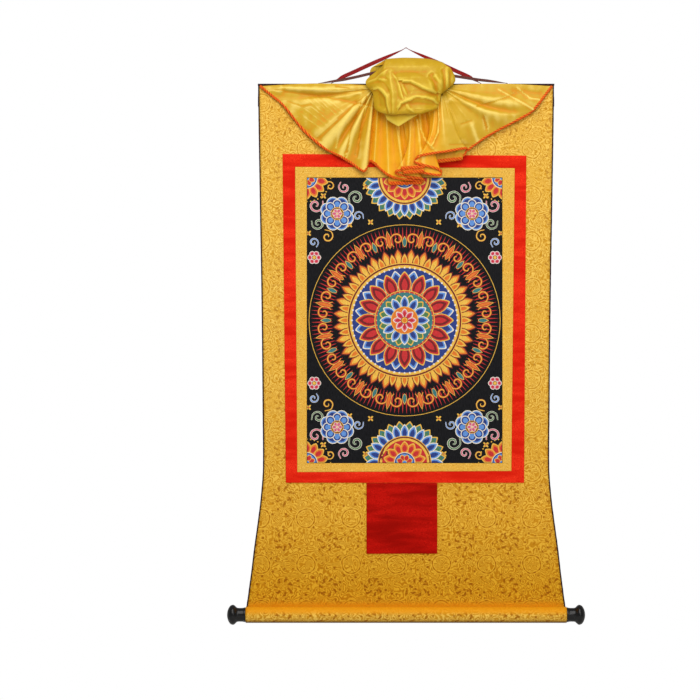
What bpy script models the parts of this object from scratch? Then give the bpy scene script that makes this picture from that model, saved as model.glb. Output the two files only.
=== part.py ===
"""Thangka scroll: a bordered picture on a brocade mount, hung from a batten and weighted by a roller, with
its silk cover lifted, gathered and thrown over the lower ribbon at the top.

Metres, +Z up. The origin is the point of the hanging ribbon that rests on its nail. The front faces -Y.
"""

import math
from collections import namedtuple

import bmesh
import bpy
from mathutils import Vector

MM = 0.001

# Cloth and the gaps between pieces that touch
BROCADE_THICK = 1.2 * MM
BORDER_THICK = 1.0 * MM
SILK_THICK = 1.2 * MM
SEAM = 0.3 * MM
LAY_GAP = 0.5 * MM

# Heights along the scroll
BATTEN_TOP = -56.5 * MM
BATTEN_HIGH = 14.0 * MM
BATTEN_DEEP = 8.0 * MM
FRAME_TOP = -163.0 * MM
FRAME_BOTTOM = -664.8 * MM
DOOR_HIGH = 108.0 * MM
ROLLER_Z = -866.7 * MM

# The red and the gold border and the picture in them
FRAME_CENTRE_X = -2.3 * MM
FRAME_HALF = 183.0 * MM
RED_SIDE, RED_TOP, RED_FOOT = 16.8 * MM, 18.0 * MM, 15.5 * MM
GOLD_SIDE, GOLD_TOP, GOLD_FOOT = 16.8 * MM, 17.6 * MM, 14.5 * MM
DOOR_CENTRE_X = -6.5 * MM
DOOR_HALF = 54.0 * MM

# Roller and knobs
DOWEL_RADIUS = 10.8 * MM
WRAP_RADIUS = DOWEL_RADIUS + SEAM + BROCADE_THICK / 2
WRAP_START, WRAP_END = 0.0, 322.0
WRAP_WIDEN = 4.0 * MM
DOWEL_HALF = 244.8 * MM
KNOB_STEPS = 24
BINDING_WIDE, BINDING_THICK = 2.2 * MM, 1.4 * MM
BINDING_FOOT = -851.0 * MM

# Ribbons
RIBBON_WIDE, LOWER_WIDE, RIBBON_THICK = 6.0 * MM, 4.2 * MM, 1.0 * MM
HANGING_HALF = 115.0 * MM
HANGING_Y = 1.5 * MM

Level = namedtuple("Level", "z y half_width")
# The scroll's section: where the middle of the brocade is at each height, and half its width there.
LEVELS = [
    Level(-56.5 * MM, -4.9 * MM, 224.0 * MM),
    Level(-200 * MM, -4.9 * MM, 222.0 * MM),
    Level(-386 * MM, -4.9 * MM, 218.9 * MM),
    Level(-560 * MM, -4.9 * MM, 217.2 * MM),
    Level(-646 * MM, -5.2 * MM, 216.8 * MM),
    Level(-692 * MM, -6.6 * MM, 220.4 * MM),
    Level(-728 * MM, -8.0 * MM, 225.0 * MM),
    Level(-765 * MM, -6.2 * MM, 230.2 * MM),
    Level(-802 * MM, -1.0 * MM, 234.8 * MM),
    Level(-838 * MM, 5.2 * MM, 238.6 * MM),
    Level(-866.7 * MM, 7.6 * MM, 241.0 * MM),
]

Ripple = namedtuple("Ripple", "length deep phase")
# The slow waves of the cloth between the frame and the roller.
RIPPLES = [Ripple(230 * MM, 1.1 * MM, 0.8), Ripple(131 * MM, 0.6 * MM, 0.0)]
RIPPLE_TOP, RIPPLE_HIGH = -640 * MM, 205 * MM

KnobRing = namedtuple("KnobRing", "out radius")
# The turned knob, from the cloth outwards: a collar, a neck and a domed head.
KNOB = [
    KnobRing(0.0 * MM, 11.4 * MM),
    KnobRing(2.5 * MM, 11.4 * MM),
    KnobRing(4.5 * MM, 10.7 * MM),
    KnobRing(10.0 * MM, 10.8 * MM),
    KnobRing(13.0 * MM, 12.3 * MM),
    KnobRing(15.5 * MM, 14.3 * MM),
    KnobRing(18.5 * MM, 15.2 * MM),
    KnobRing(21.5 * MM, 14.7 * MM),
    KnobRing(24.3 * MM, 12.6 * MM),
    KnobRing(26.6 * MM, 8.8 * MM),
    KnobRing(28.0 * MM, 3.6 * MM),
    KnobRing(28.3 * MM, 0.0 * MM),
]

Fold = namedtuple("Fold", "neck_x neck_z neck_y hem_x hem_z hem_y belly sag tuck")
# The silk's folds from the upper left corner to the upper right one, in millimetres: each runs from the
# gathered neck to the hem. belly is how far its middle stands forward, sag how far it hangs below the
# straight, and tuck how far its foot is turned sideways, which lays the hem in steps.
LEFT_WING = [
    Fold(-57.0, -61.5, -10.5, -224.0, -59.4, -7.6, 1.0, 0.0, 0.0),
    Fold(-56.3, -62.7, -15.5, -219.0, -64.0, -8.8, 6.0, 1.0, 0.0),
    Fold(-55.7, -64.0, -12.0, -204.0, -76.0, -8.4, -1.5, 4.0, 0.0),
    Fold(-55.1, -65.6, -15.0, -187.0, -91.0, -9.8, 2.5, 2.0, 0.0),
    Fold(-54.5, -67.2, -16.5, -158.0, -127.0, -11.5, 4.0, 0.0, 0.0),
    Fold(-53.9, -68.8, -18.0, -129.0, -153.0, -14.5, 7.5, 0.0, 0.0),
    Fold(-53.2, -70.4, -13.5, -113.0, -162.0, -10.0, 0.5, 0.0, 0.0),
    Fold(-52.4, -71.8, -17.5, -101.0, -168.0, -15.5, 6.5, 0.0, 0.0),
    Fold(-51.3, -73.0, -13.0, -84.0, -178.0, -10.2, 0.5, 0.0, 0.0),
    Fold(-50.0, -74.2, -17.5, -64.0, -191.0, -17.5, 5.0, 0.0, 0.0),
]
SKIRT = [
    Fold(-47.5, -75.0, -12.5, -56.0, -175.5, -10.4, 0.0, 0.0, 0.0),
    Fold(-42.5, -75.0, -17.0, -49.0, -178.5, -19.0, 3.0, 0.0, 0.0),
    Fold(-36.5, -75.0, -12.5, -40.0, -188.0, -11.5, 0.0, 0.0, 0.0),
    Fold(-30.5, -75.0, -17.0, -27.0, -199.0, -19.5, 3.0, 0.0, 0.0),
    Fold(-24.5, -75.0, -12.5, -17.0, -206.5, -11.0, 0.0, 0.0, 3.0),
    Fold(-18.5, -75.0, -17.0, -8.0, -208.5, -14.5, 1.5, 0.0, 8.0),
    Fold(-12.5, -75.0, -12.5, -2.0, -207.0, -10.6, 1.5, 0.0, 27.0),
    Fold(-6.5, -75.0, -17.0, 3.0, -204.5, -14.6, 1.5, 0.0, 21.0),
    Fold(-0.5, -75.0, -14.0, 8.0, -199.5, -16.8, 2.0, 0.0, -10.0),
    Fold(5.5, -75.0, -17.0, 12.0, -193.0, -19.2, 2.5, 0.0, -29.0),
    Fold(11.5, -75.0, -14.0, 17.0, -190.0, -22.4, 2.0, 0.0, -22.0),
    Fold(17.5, -75.0, -17.0, 24.0, -193.0, -21.0, 3.0, 0.0, -3.0),
    Fold(23.5, -75.0, -13.5, 31.0, -197.0, -19.5, 0.0, 0.0, 20.0),
    Fold(29.5, -75.0, -15.5, 37.0, -187.0, -21.8, 2.0, 0.0, 11.0),
    Fold(35.5, -75.0, -16.5, 42.0, -177.0, -25.6, 2.0, 0.0, -28.0),
    Fold(41.5, -75.0, -17.5, 46.0, -169.0, -28.6, 2.5, 0.0, -28.0),
    Fold(47.5, -75.0, -14.5, 50.0, -165.0, -28.2, 2.0, 0.0, -13.0),
    Fold(53.5, -74.5, -15.5, 58.0, -161.5, -26.5, 5.0, 0.0, 2.0),
]
RIGHT_WING = [
    Fold(55.8, -73.8, -14.5, 76.0, -157.5, -23.6, 7.0, 0.0, 6.0),
    Fold(56.8, -73.2, -14.5, 83.0, -156.5, -22.0, 7.0, 0.0, 9.0),
    Fold(57.6, -72.6, -14.5, 87.0, -158.5, -18.6, 7.0, 0.0, 6.0),
    Fold(58.2, -72.0, -14.5, 91.0, -169.0, -16.6, 6.5, 0.0, -6.0),
    Fold(58.8, -71.5, -14.5, 94.0, -175.0, -15.2, 6.0, 0.0, -31.0),
    Fold(59.2, -71.1, -14.5, 96.0, -173.5, -12.2, 6.0, 0.0, -33.0),
    Fold(59.6, -70.6, -14.5, 99.0, -163.0, -10.4, 5.5, 0.0, -14.0),
    Fold(60.1, -69.9, -15.0, 104.0, -151.0, -10.4, 6.0, 1.0, 0.0),
    Fold(60.6, -69.2, -15.5, 121.0, -139.0, -11.0, 8.0, 2.0, 0.0),
    Fold(61.2, -68.4, -15.5, 141.0, -127.5, -9.8, 6.0, 3.0, 0.0),
    Fold(61.8, -67.6, -16.5, 165.0, -115.0, -10.5, 7.0, 5.0, 0.0),
    Fold(62.6, -66.4, -13.0, 190.0, -101.0, -8.6, -0.5, 8.0, 0.0),
    Fold(63.9, -64.8, -16.5, 202.0, -88.5, -9.6, 6.0, 5.0, 0.0),
    Fold(66.2, -62.8, -13.5, 213.0, -74.0, -8.4, 2.0, 2.0, 0.0),
    Fold(70.0, -60.6, -10.5, 224.0, -59.4, -7.6, 1.0, 0.0, 0.0),
]
TUCK_POWER, DEPTH_POWER = 3.2, 0.6

LobeStation = namedtuple("LobeStation", "across lip_x lip_z lip_y front_y middle_x top_x top_z")
# The bunch that hangs over the lower ribbon, from left to right, in millimetres: its lip at the foot,
# how far its front stands out, and its width at the middle and at the top.
LOBE = [
    LobeStation(0.00, -50.0, -84.0, -25.0, -25.0, -58.0, -47.0, -29.0),
    LobeStation(0.12, -44.0, -93.0, -32.0, -33.0, -45.0, -36.0, -22.0),
    LobeStation(0.28, -29.0, -99.0, -39.0, -42.0, -24.0, -20.0, -18.5),
    LobeStation(0.45, -12.0, -102.5, -42.0, -45.0, -3.0, 0.0, -18.0),
    LobeStation(0.62, 8.0, -101.5, -42.0, -44.0, 22.0, 18.0, -18.5),
    LobeStation(0.80, 30.0, -98.0, -38.0, -40.0, 48.0, 37.0, -20.0),
    LobeStation(0.93, 46.0, -90.0, -31.0, -32.0, 66.0, 52.0, -24.0),
    LobeStation(1.00, 51.0, -81.0, -25.0, -25.0, 74.0, 60.0, -31.0),
]

Stretch = namedtuple("Stretch", "until rows")
# The rows of the bunch's grid: close together on its front, wider inside it and behind it.
LOBE_STRETCHES = [Stretch(0.37, 7), Stretch(0.78, 15), Stretch(1.0, 5)]

Crease = namedtuple("Crease", "from_x from_z to_x to_z wide high")
# The folds on the front of the bunch, in millimetres: lines that stand out by high, or are sunk where it is
# negative. Two of them are short and broad, and make its pockets.
LOBE_CREASES = [
    Crease(-43.0, -60.0, -31.0, -72.0, 3.5, 3.5),
    Crease(-31.0, -72.0, -28.0, -92.0, 3.5, 3.5),
    Crease(-28.5, -36.0, -21.5, -56.0, 4.5, 4.0),
    Crease(-21.5, -56.0, -19.5, -99.0, 4.0, 5.0),
    Crease(-21.0, -36.0, -10.0, -58.0, 4.0, 3.0),
    Crease(-10.0, -58.0, 3.0, -79.0, 4.5, 3.5),
    Crease(3.0, -79.0, 16.0, -75.0, 4.0, 3.5),
    Crease(16.0, -75.0, 45.0, -81.0, 4.0, 3.5),
    Crease(-3.0, -52.0, 44.0, -67.0, 5.0, 3.5),
    Crease(40.0, -34.0, 56.0, -64.0, 5.0, -4.5),
    Crease(-41.0, -73.0, -39.0, -82.0, 7.0, -5.0),
    Crease(14.0, -89.0, 34.0, -88.0, 6.5, -5.0),
]
FAN_ROWS = 12
WING_STEPS, SKIRT_STEPS = 2, 3


def lerp(a, b, share):
    return a + (b - a) * share


def catmull(before, a, b, after, share):
    """The value at share of the way from a to b on a smooth curve through all four."""
    return 0.5 * (
        2 * a
        + (b - before) * share
        + (2 * before - 5 * a + 4 * b - after) * share**2
        + (3 * a - before - 3 * b + after) * share**3
    )


def smooth_at(values, place):
    """A smooth curve through evenly spaced values, read at a place from 0 to their last index."""
    i = min(int(place), len(values) - 2)
    before, after = values[max(i - 1, 0)], values[min(i + 2, len(values) - 1)]
    return catmull(before, values[i], values[i + 1], after, place - i)


def place_in(keys, value):
    """Where value lies among rising keys, as an index with its share."""
    for i, (low, high) in enumerate(zip(keys, keys[1:])):
        if value <= high:
            return i + max(0.0, (value - low) / (high - low))
    return len(keys) - 1.0


def row_at(table, place):
    """A row of a table, smoothed between its neighbours, at a place from 0 to its last index."""
    return type(table[0])(*(smooth_at(column, place) for column in zip(*table)))


def level_at(z):
    return row_at(LEVELS, place_in([-level.z for level in LEVELS], -z))


def ripple(x, z):
    """The lower cloth's slow, uneven waves, which die out at the frame and at the roller."""
    down = min(1.0, max(0.0, (RIPPLE_TOP - z) / RIPPLE_HIGH))
    waves = sum(wave.deep * math.sin(2 * math.pi * x / wave.length + wave.phase) for wave in RIPPLES)
    return math.sin(math.pi * down) * waves


def brocade_y(x, z):
    return level_at(z).y + ripple(x, z)


def material(name, colour, roughness, metallic=0.0):
    made = bpy.data.materials.new(name)
    made.use_nodes = True
    shader = made.node_tree.nodes["Principled BSDF"]
    shader.inputs["Base Color"].default_value = (*colour, 1.0)
    shader.inputs["Roughness"].default_value = roughness
    shader.inputs["Metallic"].default_value = metallic
    return made


def add_object(name, mesh_maker, finish, smooth=True):
    """Puts a bmesh in the scene as one named object and returns it."""
    mesh = bpy.data.meshes.new(name)
    mesh_maker.normal_update()
    bmesh.ops.recalc_face_normals(mesh_maker, faces=mesh_maker.faces[:])
    mesh_maker.to_mesh(mesh)
    mesh_maker.free()
    mesh.materials.append(finish)
    if smooth:
        mesh.shade_smooth()
        mesh.set_sharp_from_angle(angle=math.radians(40))
    made = bpy.data.objects.new(name, mesh)
    bpy.context.scene.collection.objects.link(made)
    return made


def thicken(cloth, thickness):
    """Gives a sheet its thickness, half to each side of the surface it was modelled on."""
    solid = cloth.modifiers.new("thickness", "SOLIDIFY")
    solid.thickness = thickness
    solid.offset = 0.0
    solid.use_even_offset = False
    return cloth


def grid_of(columns, rows, point_at):
    """A grid of cloth whose points are point_at(across, down), with both from 0 to 1."""
    sheet = bmesh.new()
    bmesh.ops.create_grid(sheet, x_segments=columns, y_segments=rows, size=0.5)
    for vertex in sheet.verts:
        vertex.co = point_at(vertex.co.x + 0.5, 0.5 - vertex.co.y)
    return sheet


# The brocade mount: one length of cloth from the batten to the roller, which it wraps


BROCADE_COLUMNS, BROCADE_FALL_ROWS, BROCADE_WRAP_ROWS = 12, 30, 18


def roller_y():
    """The roller hangs in front of the cloth, which passes behind it and comes round under it."""
    return LEVELS[-1].y - WRAP_RADIUS


def brocade_point(across, down):
    side = 2 * across - 1
    row = down * (BROCADE_FALL_ROWS + BROCADE_WRAP_ROWS)
    if row <= BROCADE_FALL_ROWS:
        z = lerp(LEVELS[0].z, ROLLER_Z, row / BROCADE_FALL_ROWS)
        x = side * level_at(z).half_width
        return Vector((x, brocade_y(x, z), z))
    share = (row - BROCADE_FALL_ROWS) / BROCADE_WRAP_ROWS
    angle = math.radians(lerp(WRAP_START, WRAP_END, share))
    x = side * (LEVELS[-1].half_width + WRAP_WIDEN * min(1.0, 2 * share))
    return Vector((x, roller_y() + WRAP_RADIUS * math.cos(angle), ROLLER_Z - WRAP_RADIUS * math.sin(angle)))


def brocade():
    sheet = grid_of(BROCADE_COLUMNS, BROCADE_FALL_ROWS + BROCADE_WRAP_ROWS, brocade_point)
    finish = material("gold_brocade", (0.72, 0.42, 0.07), 0.5)
    return thicken(add_object("brocade", sheet, finish), BROCADE_THICK)


def side_binding(name, side, finish):
    """The dark cloth that binds one long edge of the brocade."""

    def point(across, down):
        z = lerp(LEVELS[0].z, BINDING_FOOT, down)
        half_width = level_at(z).half_width
        edge = side * half_width
        x = side * (half_width + SEAM + BINDING_WIDE * across)
        return Vector((x, brocade_y(edge, z), z))

    return thicken(add_object(name, grid_of(1, 34, point), finish), BINDING_THICK)


# What lies on the brocade: the mitred borders, the picture and the patch below it


def on_brocade(name, corners, along, up, finish):
    """A flat piece sewn on the brocade. Its corners go from the lower left one round by the right."""
    left_foot, right_foot, right_head, left_head = corners
    depth = BROCADE_THICK / 2 + LAY_GAP + BORDER_THICK / 2

    def point(across, down):
        place = left_foot.lerp(right_foot, across).lerp(left_head.lerp(right_head, across), 1 - down)
        return Vector((place.x, brocade_y(place.x, place.y) - depth, place.y))

    return thicken(add_object(name, grid_of(along, up, point), finish), BORDER_THICK)


def rectangle(left, right, foot, head):
    return [Vector(corner) for corner in ((left, foot), (right, foot), (right, head), (left, head))]


def inside(corners, side, foot, head):
    (left, low), (right, _), (_, high), _ = corners
    return rectangle(left + side, right - side, low + foot, high - head)


def border(name, outer, inner, finish):
    """Four mitred strips between two rectangles, a seam apart from each other and from what they frame."""
    outer = inside(outer, SEAM / 2, SEAM / 2, SEAM / 2)
    inner = inside(inner, -SEAM / 2, -SEAM / 2, -SEAM / 2)
    (a, b, c, d), (e, f, g, h) = outer, inner
    in_x, up = Vector((SEAM, 0)), Vector((0, SEAM))
    on_brocade(f"{name}_bottom", [a + in_x, b - in_x, f, e], 10, 1, finish)
    on_brocade(f"{name}_top", [h, g, c - in_x, d + in_x], 10, 1, finish)
    on_brocade(f"{name}_left", [a + up, e + up, h - up, d - up], 1, 18, finish)
    on_brocade(f"{name}_right", [f + up, b + up, c - up, g - up], 1, 18, finish)


def picture_and_borders():
    red = material("red_brocade", (0.68, 0.03, 0.01), 0.55)
    gold = material("gold_border", (0.78, 0.45, 0.08), 0.5)
    outer = rectangle(FRAME_CENTRE_X - FRAME_HALF, FRAME_CENTRE_X + FRAME_HALF, FRAME_BOTTOM, FRAME_TOP)
    middle = inside(outer, RED_SIDE, RED_FOOT, RED_TOP)
    opening = inside(middle, GOLD_SIDE, GOLD_FOOT, GOLD_TOP)
    border("red_border", outer, middle, red)
    border("gold_border", middle, opening, gold)
    picture = inside(opening, SEAM / 2, SEAM / 2, SEAM / 2)
    on_brocade("picture_panel", picture, 8, 16, material("picture", (0.03, 0.03, 0.05), 0.45))
    head = FRAME_BOTTOM - SEAM
    patch = rectangle(DOOR_CENTRE_X - DOOR_HALF, DOOR_CENTRE_X + DOOR_HALF, head - DOOR_HIGH, head)
    on_brocade("door_patch", patch, 4, 6, material("dark_red_brocade", (0.42, 0.004, 0.003), 0.5))


# The batten in its sleeve, and the roller with its knobs


def batten():
    """A half-round strip of wood behind the top of the brocade, its flat side to the front."""
    strip = bmesh.new()
    bmesh.ops.create_circle(strip, cap_ends=True, segments=20, radius=0.5)
    front = LEVELS[0].y + BROCADE_THICK / 2 + SEAM
    half = LEVELS[0].half_width - 1.0 * MM
    for vertex in strip.verts:
        back = max(0.0, vertex.co.x) * 2
        up = BATTEN_TOP + BATTEN_HIGH * (vertex.co.y - 0.5)
        vertex.co = Vector((-half, front + BATTEN_DEEP * back, up))
    bmesh.ops.remove_doubles(strip, verts=strip.verts[:], dist=0.1 * MM)
    raised = bmesh.ops.extrude_face_region(strip, geom=strip.faces[:])
    moved = [part for part in raised["geom"] if isinstance(part, bmesh.types.BMVert)]
    bmesh.ops.translate(strip, verts=moved, vec=(2 * half, 0, 0))
    return add_object("batten", strip, material("batten_wood", (0.30, 0.19, 0.10), 0.6))


def batten_sleeve(finish):
    """Dark cloth folded over the batten: a narrow lip in front, the rest down the back to the brocade."""
    cloth = 1.0 * MM
    front = LEVELS[0].y - BROCADE_THICK / 2 - SEAM - cloth / 2
    wood_front = LEVELS[0].y + BROCADE_THICK / 2 + SEAM
    back = wood_front + BATTEN_DEEP + SEAM + cloth / 2
    top = BATTEN_TOP + SEAM + cloth / 2
    under = wood_front + cloth / 2
    route = [
        (front, top - 3.0 * MM),
        (front, top - 0.9 * MM),
        (front + 0.4 * MM, top - 0.1 * MM),
        (front + 1.4 * MM, top + 0.2 * MM),
        (back - 3.0 * MM, top + 0.2 * MM),
        (back - 0.6 * MM, top - 0.9 * MM),
        (back, top - 4.0 * MM),
        (back, top - 11.0 * MM),
        (back - 2.6 * MM, top - 16.5 * MM),
        (under + 1.4 * MM, top - 20.5 * MM),
        (under, top - 24.5 * MM),
        (under, top - 34.0 * MM),
    ]
    half = LEVELS[0].half_width + SEAM + BINDING_WIDE

    def point(across, down):
        y, z = route[round(down * (len(route) - 1))]
        return Vector((lerp(-half, half, across), y, z))

    return thicken(add_object("batten_sleeve", grid_of(1, len(route) - 1, point), finish), cloth)


def roller():
    rod = bmesh.new()
    bmesh.ops.create_cone(
        rod,
        cap_ends=True,
        segments=24,
        radius1=DOWEL_RADIUS,
        radius2=DOWEL_RADIUS,
        depth=2 * DOWEL_HALF,
    )
    for vertex in rod.verts:
        vertex.co = Vector((vertex.co.z, roller_y() + vertex.co.y, ROLLER_Z + vertex.co.x))
    return add_object("roller", rod, material("roller_wood", (0.35, 0.23, 0.12), 0.6))


def knob(name, side, finish):
    turned = bmesh.new()
    start = LEVELS[-1].half_width + WRAP_WIDEN + SEAM
    profile = [turned.verts.new((side * start, roller_y(), ROLLER_Z))]
    for ring in KNOB:
        profile.append(turned.verts.new((side * (start + ring.out), roller_y(), ROLLER_Z + ring.radius)))
    edges = [turned.edges.new(pair) for pair in zip(profile, profile[1:])]
    bmesh.ops.spin(
        turned,
        geom=profile + edges,
        cent=(0, roller_y(), ROLLER_Z),
        axis=(1, 0, 0),
        angle=2 * math.pi,
        steps=KNOB_STEPS,
        use_merge=True,
    )
    bmesh.ops.remove_doubles(turned, verts=turned.verts[:], dist=0.01 * MM)
    return add_object(name, turned, finish)


# The ribbons


def ribbon(name, route, facings, wide, finish):
    """A flat ribbon along route. Each facing is the direction of its width there."""

    def point(across, down):
        i = round(down * (len(route) - 1))
        return route[i] + facings[i] * wide * (across - 0.5)

    return thicken(add_object(name, grid_of(1, len(route) - 1, point), finish), RIBBON_THICK)


def curve_through(points, steps):
    """Points on a smooth curve through the given ones, steps to each stretch."""
    count = (len(points) - 1) * steps
    return [smooth_at(points, i / steps) for i in range(count + 1)]


def sleeve_top():
    return BATTEN_TOP + SEAM + 1.0 * MM + 0.2 * MM + SEAM


def hanging_ribbon(finish):
    """From the batten up to the nail and down again, with a quarter twist to lie flat over the nail."""
    foot = sleeve_top() + RIBBON_WIDE / 2
    left = [
        Vector((-HANGING_HALF, HANGING_Y, foot)),
        Vector((-HANGING_HALF * 0.75, HANGING_Y, foot * 0.76)),
        Vector((-HANGING_HALF * 0.50, HANGING_Y, foot * 0.505)),
        Vector((-HANGING_HALF * 0.25, HANGING_Y, foot * 0.255)),
        Vector((-HANGING_HALF * 0.08, HANGING_Y, foot * 0.085)),
        Vector((-HANGING_HALF * 0.025, HANGING_Y, foot * 0.022)),
    ]
    peak = Vector((0, HANGING_Y, RIBBON_THICK / 2))
    right = [Vector((-p.x, p.y, p.z)) for p in reversed(left)]
    route = curve_through([*left, peak, *right], 4)
    facings = []
    for i, place in enumerate(route):
        along = (route[min(i + 1, len(route) - 1)] - route[max(i - 1, 0)]).normalized()
        upright = Vector((-along.z, 0, along.x))
        turn = 0.5 * math.pi * max(0.0, 1 - abs(place.x) / (0.45 * HANGING_HALF))
        facings.append(upright * math.cos(turn) + Vector((0, 1, 0)) * math.sin(turn))
    return ribbon("hanging_ribbon", route, facings, RIBBON_WIDE, finish)


def lower_ribbon(finish):
    """From the batten through the bunch of silk, which hangs over it, and back to the batten."""
    foot = sleeve_top() + LOWER_WIDE / 2
    route = curve_through(
        [
            Vector((-0.134, -0.0020, foot)),
            Vector((-0.104, -0.0050, foot + 0.0025)),
            Vector((-0.077, -0.0110, foot + 0.0070)),
            Vector((-0.046, -0.0150, foot + 0.0135)),
            Vector((-0.015, -0.0165, foot + 0.0160)),
            Vector((0.020, -0.0165, foot + 0.0155)),
            Vector((0.055, -0.0155, foot + 0.0115)),
            Vector((0.080, -0.0120, foot + 0.0075)),
            Vector((0.115, -0.0055, foot + 0.0030)),
            Vector((0.155, -0.0020, foot)),
        ],
        4,
    )
    facings = []
    for i in range(len(route)):
        along = (route[min(i + 1, len(route) - 1)] - route[max(i - 1, 0)]).normalized()
        facings.append(Vector((-along.z, 0, along.x)).normalized())
    return ribbon("lower_ribbon", route, facings, LOWER_WIDE, finish)


# The silk cover


def fan_stations():
    """The folds with the steps between them: (place in the table, whether it is part of the skirt)."""
    stations = []
    first, last = len(LEFT_WING), len(LEFT_WING) + len(SKIRT) - 1
    for i in range(len(LEFT_WING) + len(SKIRT) + len(RIGHT_WING) - 1):
        steps = SKIRT_STEPS if first <= i < last else WING_STEPS
        stations += [(i + step / steps, first <= i + step / steps <= last) for step in range(steps)]
    return [*stations, (len(LEFT_WING) + len(SKIRT) + len(RIGHT_WING) - 1.0, False)]


def fan_point(place, share):
    """A point of the wings and the skirt: share runs from 0 at the gathered neck to 1 at the hem."""
    fold = row_at([*LEFT_WING, *SKIRT, *RIGHT_WING], place)
    swell = math.sin(math.pi * share)
    x = lerp(fold.neck_x, fold.hem_x, share) + fold.tuck * share**TUCK_POWER
    y = lerp(fold.neck_y, fold.hem_y, share**DEPTH_POWER) - fold.belly * swell
    z = lerp(fold.neck_z, fold.hem_z, share) - fold.sag * swell
    return Vector((x, y, z)) * MM


def rise(x, z, creases):
    """How far the creases stand out at a place, as the sum of what each adds near its line."""
    total = 0.0
    for c in creases:
        along = Vector((c.to_x - c.from_x, c.to_z - c.from_z))
        place = Vector((x - c.from_x, z - c.from_z))
        share = min(1.0, max(0.0, place.dot(along) / along.length_squared))
        total += c.high * math.exp(-(((place - along * share).length / c.wide) ** 2))
    return total


def lobe_point(across, neck, share):
    """A point of the bunch: over the neck, down inside to the lip, up the front and down behind."""
    at = row_at(LOBE, place_in([station.across for station in LOBE], across))
    start = neck / MM
    inner_x, outer_x = (lerp(start.x, at.lip_x, part) for part in (0.3, 0.7))
    shoulder_x = lerp(at.middle_x, at.top_x, 0.5)
    route = [
        (start.x, start.y, start.z),
        (start.x, start.y - 1.5, start.z + 3.5),
        (start.x * 1.02, lerp(start.y - 1.5, at.lip_y + 2.6, 0.25), -71.0),
        (inner_x, lerp(start.y - 1.5, at.lip_y + 2.6, 0.4), -75.0),
        (outer_x, lerp(start.y - 1.5, at.lip_y + 2.6, 0.7), lerp(-75.0, at.lip_z, 0.6)),
        (at.lip_x, at.lip_y + 2.6, at.lip_z + 2.6),
        (at.lip_x, at.lip_y, at.lip_z),
        (at.lip_x, at.lip_y - 3.0, at.lip_z + 2.0),
        (lerp(at.lip_x, at.middle_x, 0.1), lerp(at.lip_y, at.front_y, 0.5) - 3.6, at.lip_z + 9.0),
        (lerp(at.lip_x, at.middle_x, 0.3), at.front_y - 2.0, -72.0),
        (at.middle_x, at.front_y + 3.0, -52.0),
        (shoulder_x, lerp(at.front_y, -22.0, 0.5), lerp(-36.0, at.top_z, 0.25)),
        (at.top_x, -23.0, at.top_z - 1.5),
        (at.top_x, -16.5, at.top_z + 0.5),
        (at.top_x, -10.8, at.top_z - 3.0),
        (lerp(at.top_x, at.middle_x, 0.4), -8.8, -42.0),
        (lerp(at.top_x, at.middle_x, 0.5), -8.6, -55.2),
    ]
    row = share * (len(route) - 1)
    point = smooth_at([Vector(stop) for stop in route], row)
    front = max(0.0, min(1.0, row - 6.0, 12.5 - row, 12 * across, 12 * (1 - across)))
    point.y -= front * rise(point.x, point.z, LOBE_CREASES)
    return point * MM


def lobe_shares():
    starts = [0.0, *(stretch.until for stretch in LOBE_STRETCHES)]
    return [
        lerp(start, stretch.until, row / stretch.rows)
        for start, stretch in zip(starts, LOBE_STRETCHES)
        for row in range(1, stretch.rows + 1)
    ]


def silk_veil():
    """One sheet: the wings and the pleated skirt as a fan, and the bunch drawn on from the skirt's neck."""
    stations = fan_stations()
    cloth = grid_of(len(stations) - 1, FAN_ROWS, lambda across, down: Vector((across, 0, down)))
    neck = {}
    for vertex in cloth.verts:
        column, share = round(vertex.co.x * (len(stations) - 1)), vertex.co.z
        place, in_skirt = stations[column]
        vertex.co = fan_point(place, share)
        if in_skirt and share < 0.5 / FAN_ROWS:
            across = (place - len(LEFT_WING)) / (len(SKIRT) - 1)
            neck[vertex] = (across, vertex.co.copy())
    for share in lobe_shares():
        edges = [e for e in cloth.edges if e.is_boundary and all(v in neck for v in e.verts)]
        before = {tuple(v.co): neck[v] for v in neck}
        drawn = bmesh.ops.extrude_edge_only(cloth, edges=edges)["geom"]
        neck = {v: before[tuple(v.co)] for v in drawn if isinstance(v, bmesh.types.BMVert)}
        for vertex, (across, start) in neck.items():
            vertex.co = lobe_point(across, start, share)
    finish = material("yellow_silk", (0.80, 0.50, 0.05), 0.35)
    return thicken(add_object("silk_veil", cloth, finish), SILK_THICK)


for old in list(bpy.data.objects):
    bpy.data.objects.remove(old, do_unlink=True)

dark_cloth = material("dark_binding", (0.035, 0.008, 0.010), 0.7)
black_lacquer = material("black_knob", (0.012, 0.012, 0.013), 0.3)
ribbon_cloth = material("maroon_ribbon", (0.20, 0.015, 0.015), 0.5)

brocade()
side_binding("binding_left", -1, dark_cloth)
side_binding("binding_right", 1, dark_cloth)
picture_and_borders()
batten()
batten_sleeve(dark_cloth)
roller()
knob("knob_left", -1, black_lacquer)
knob("knob_right", 1, black_lacquer)
hanging_ribbon(ribbon_cloth)
lower_ribbon(ribbon_cloth)
silk_veil()
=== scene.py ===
"""The looks of a thangka scroll: brocade mount, bordered picture, batten, roller and gathered silk cover."""

import math
from collections import namedtuple
from functools import partial

import bmesh
import bpy
from mathutils import Matrix, Vector, noise


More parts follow.
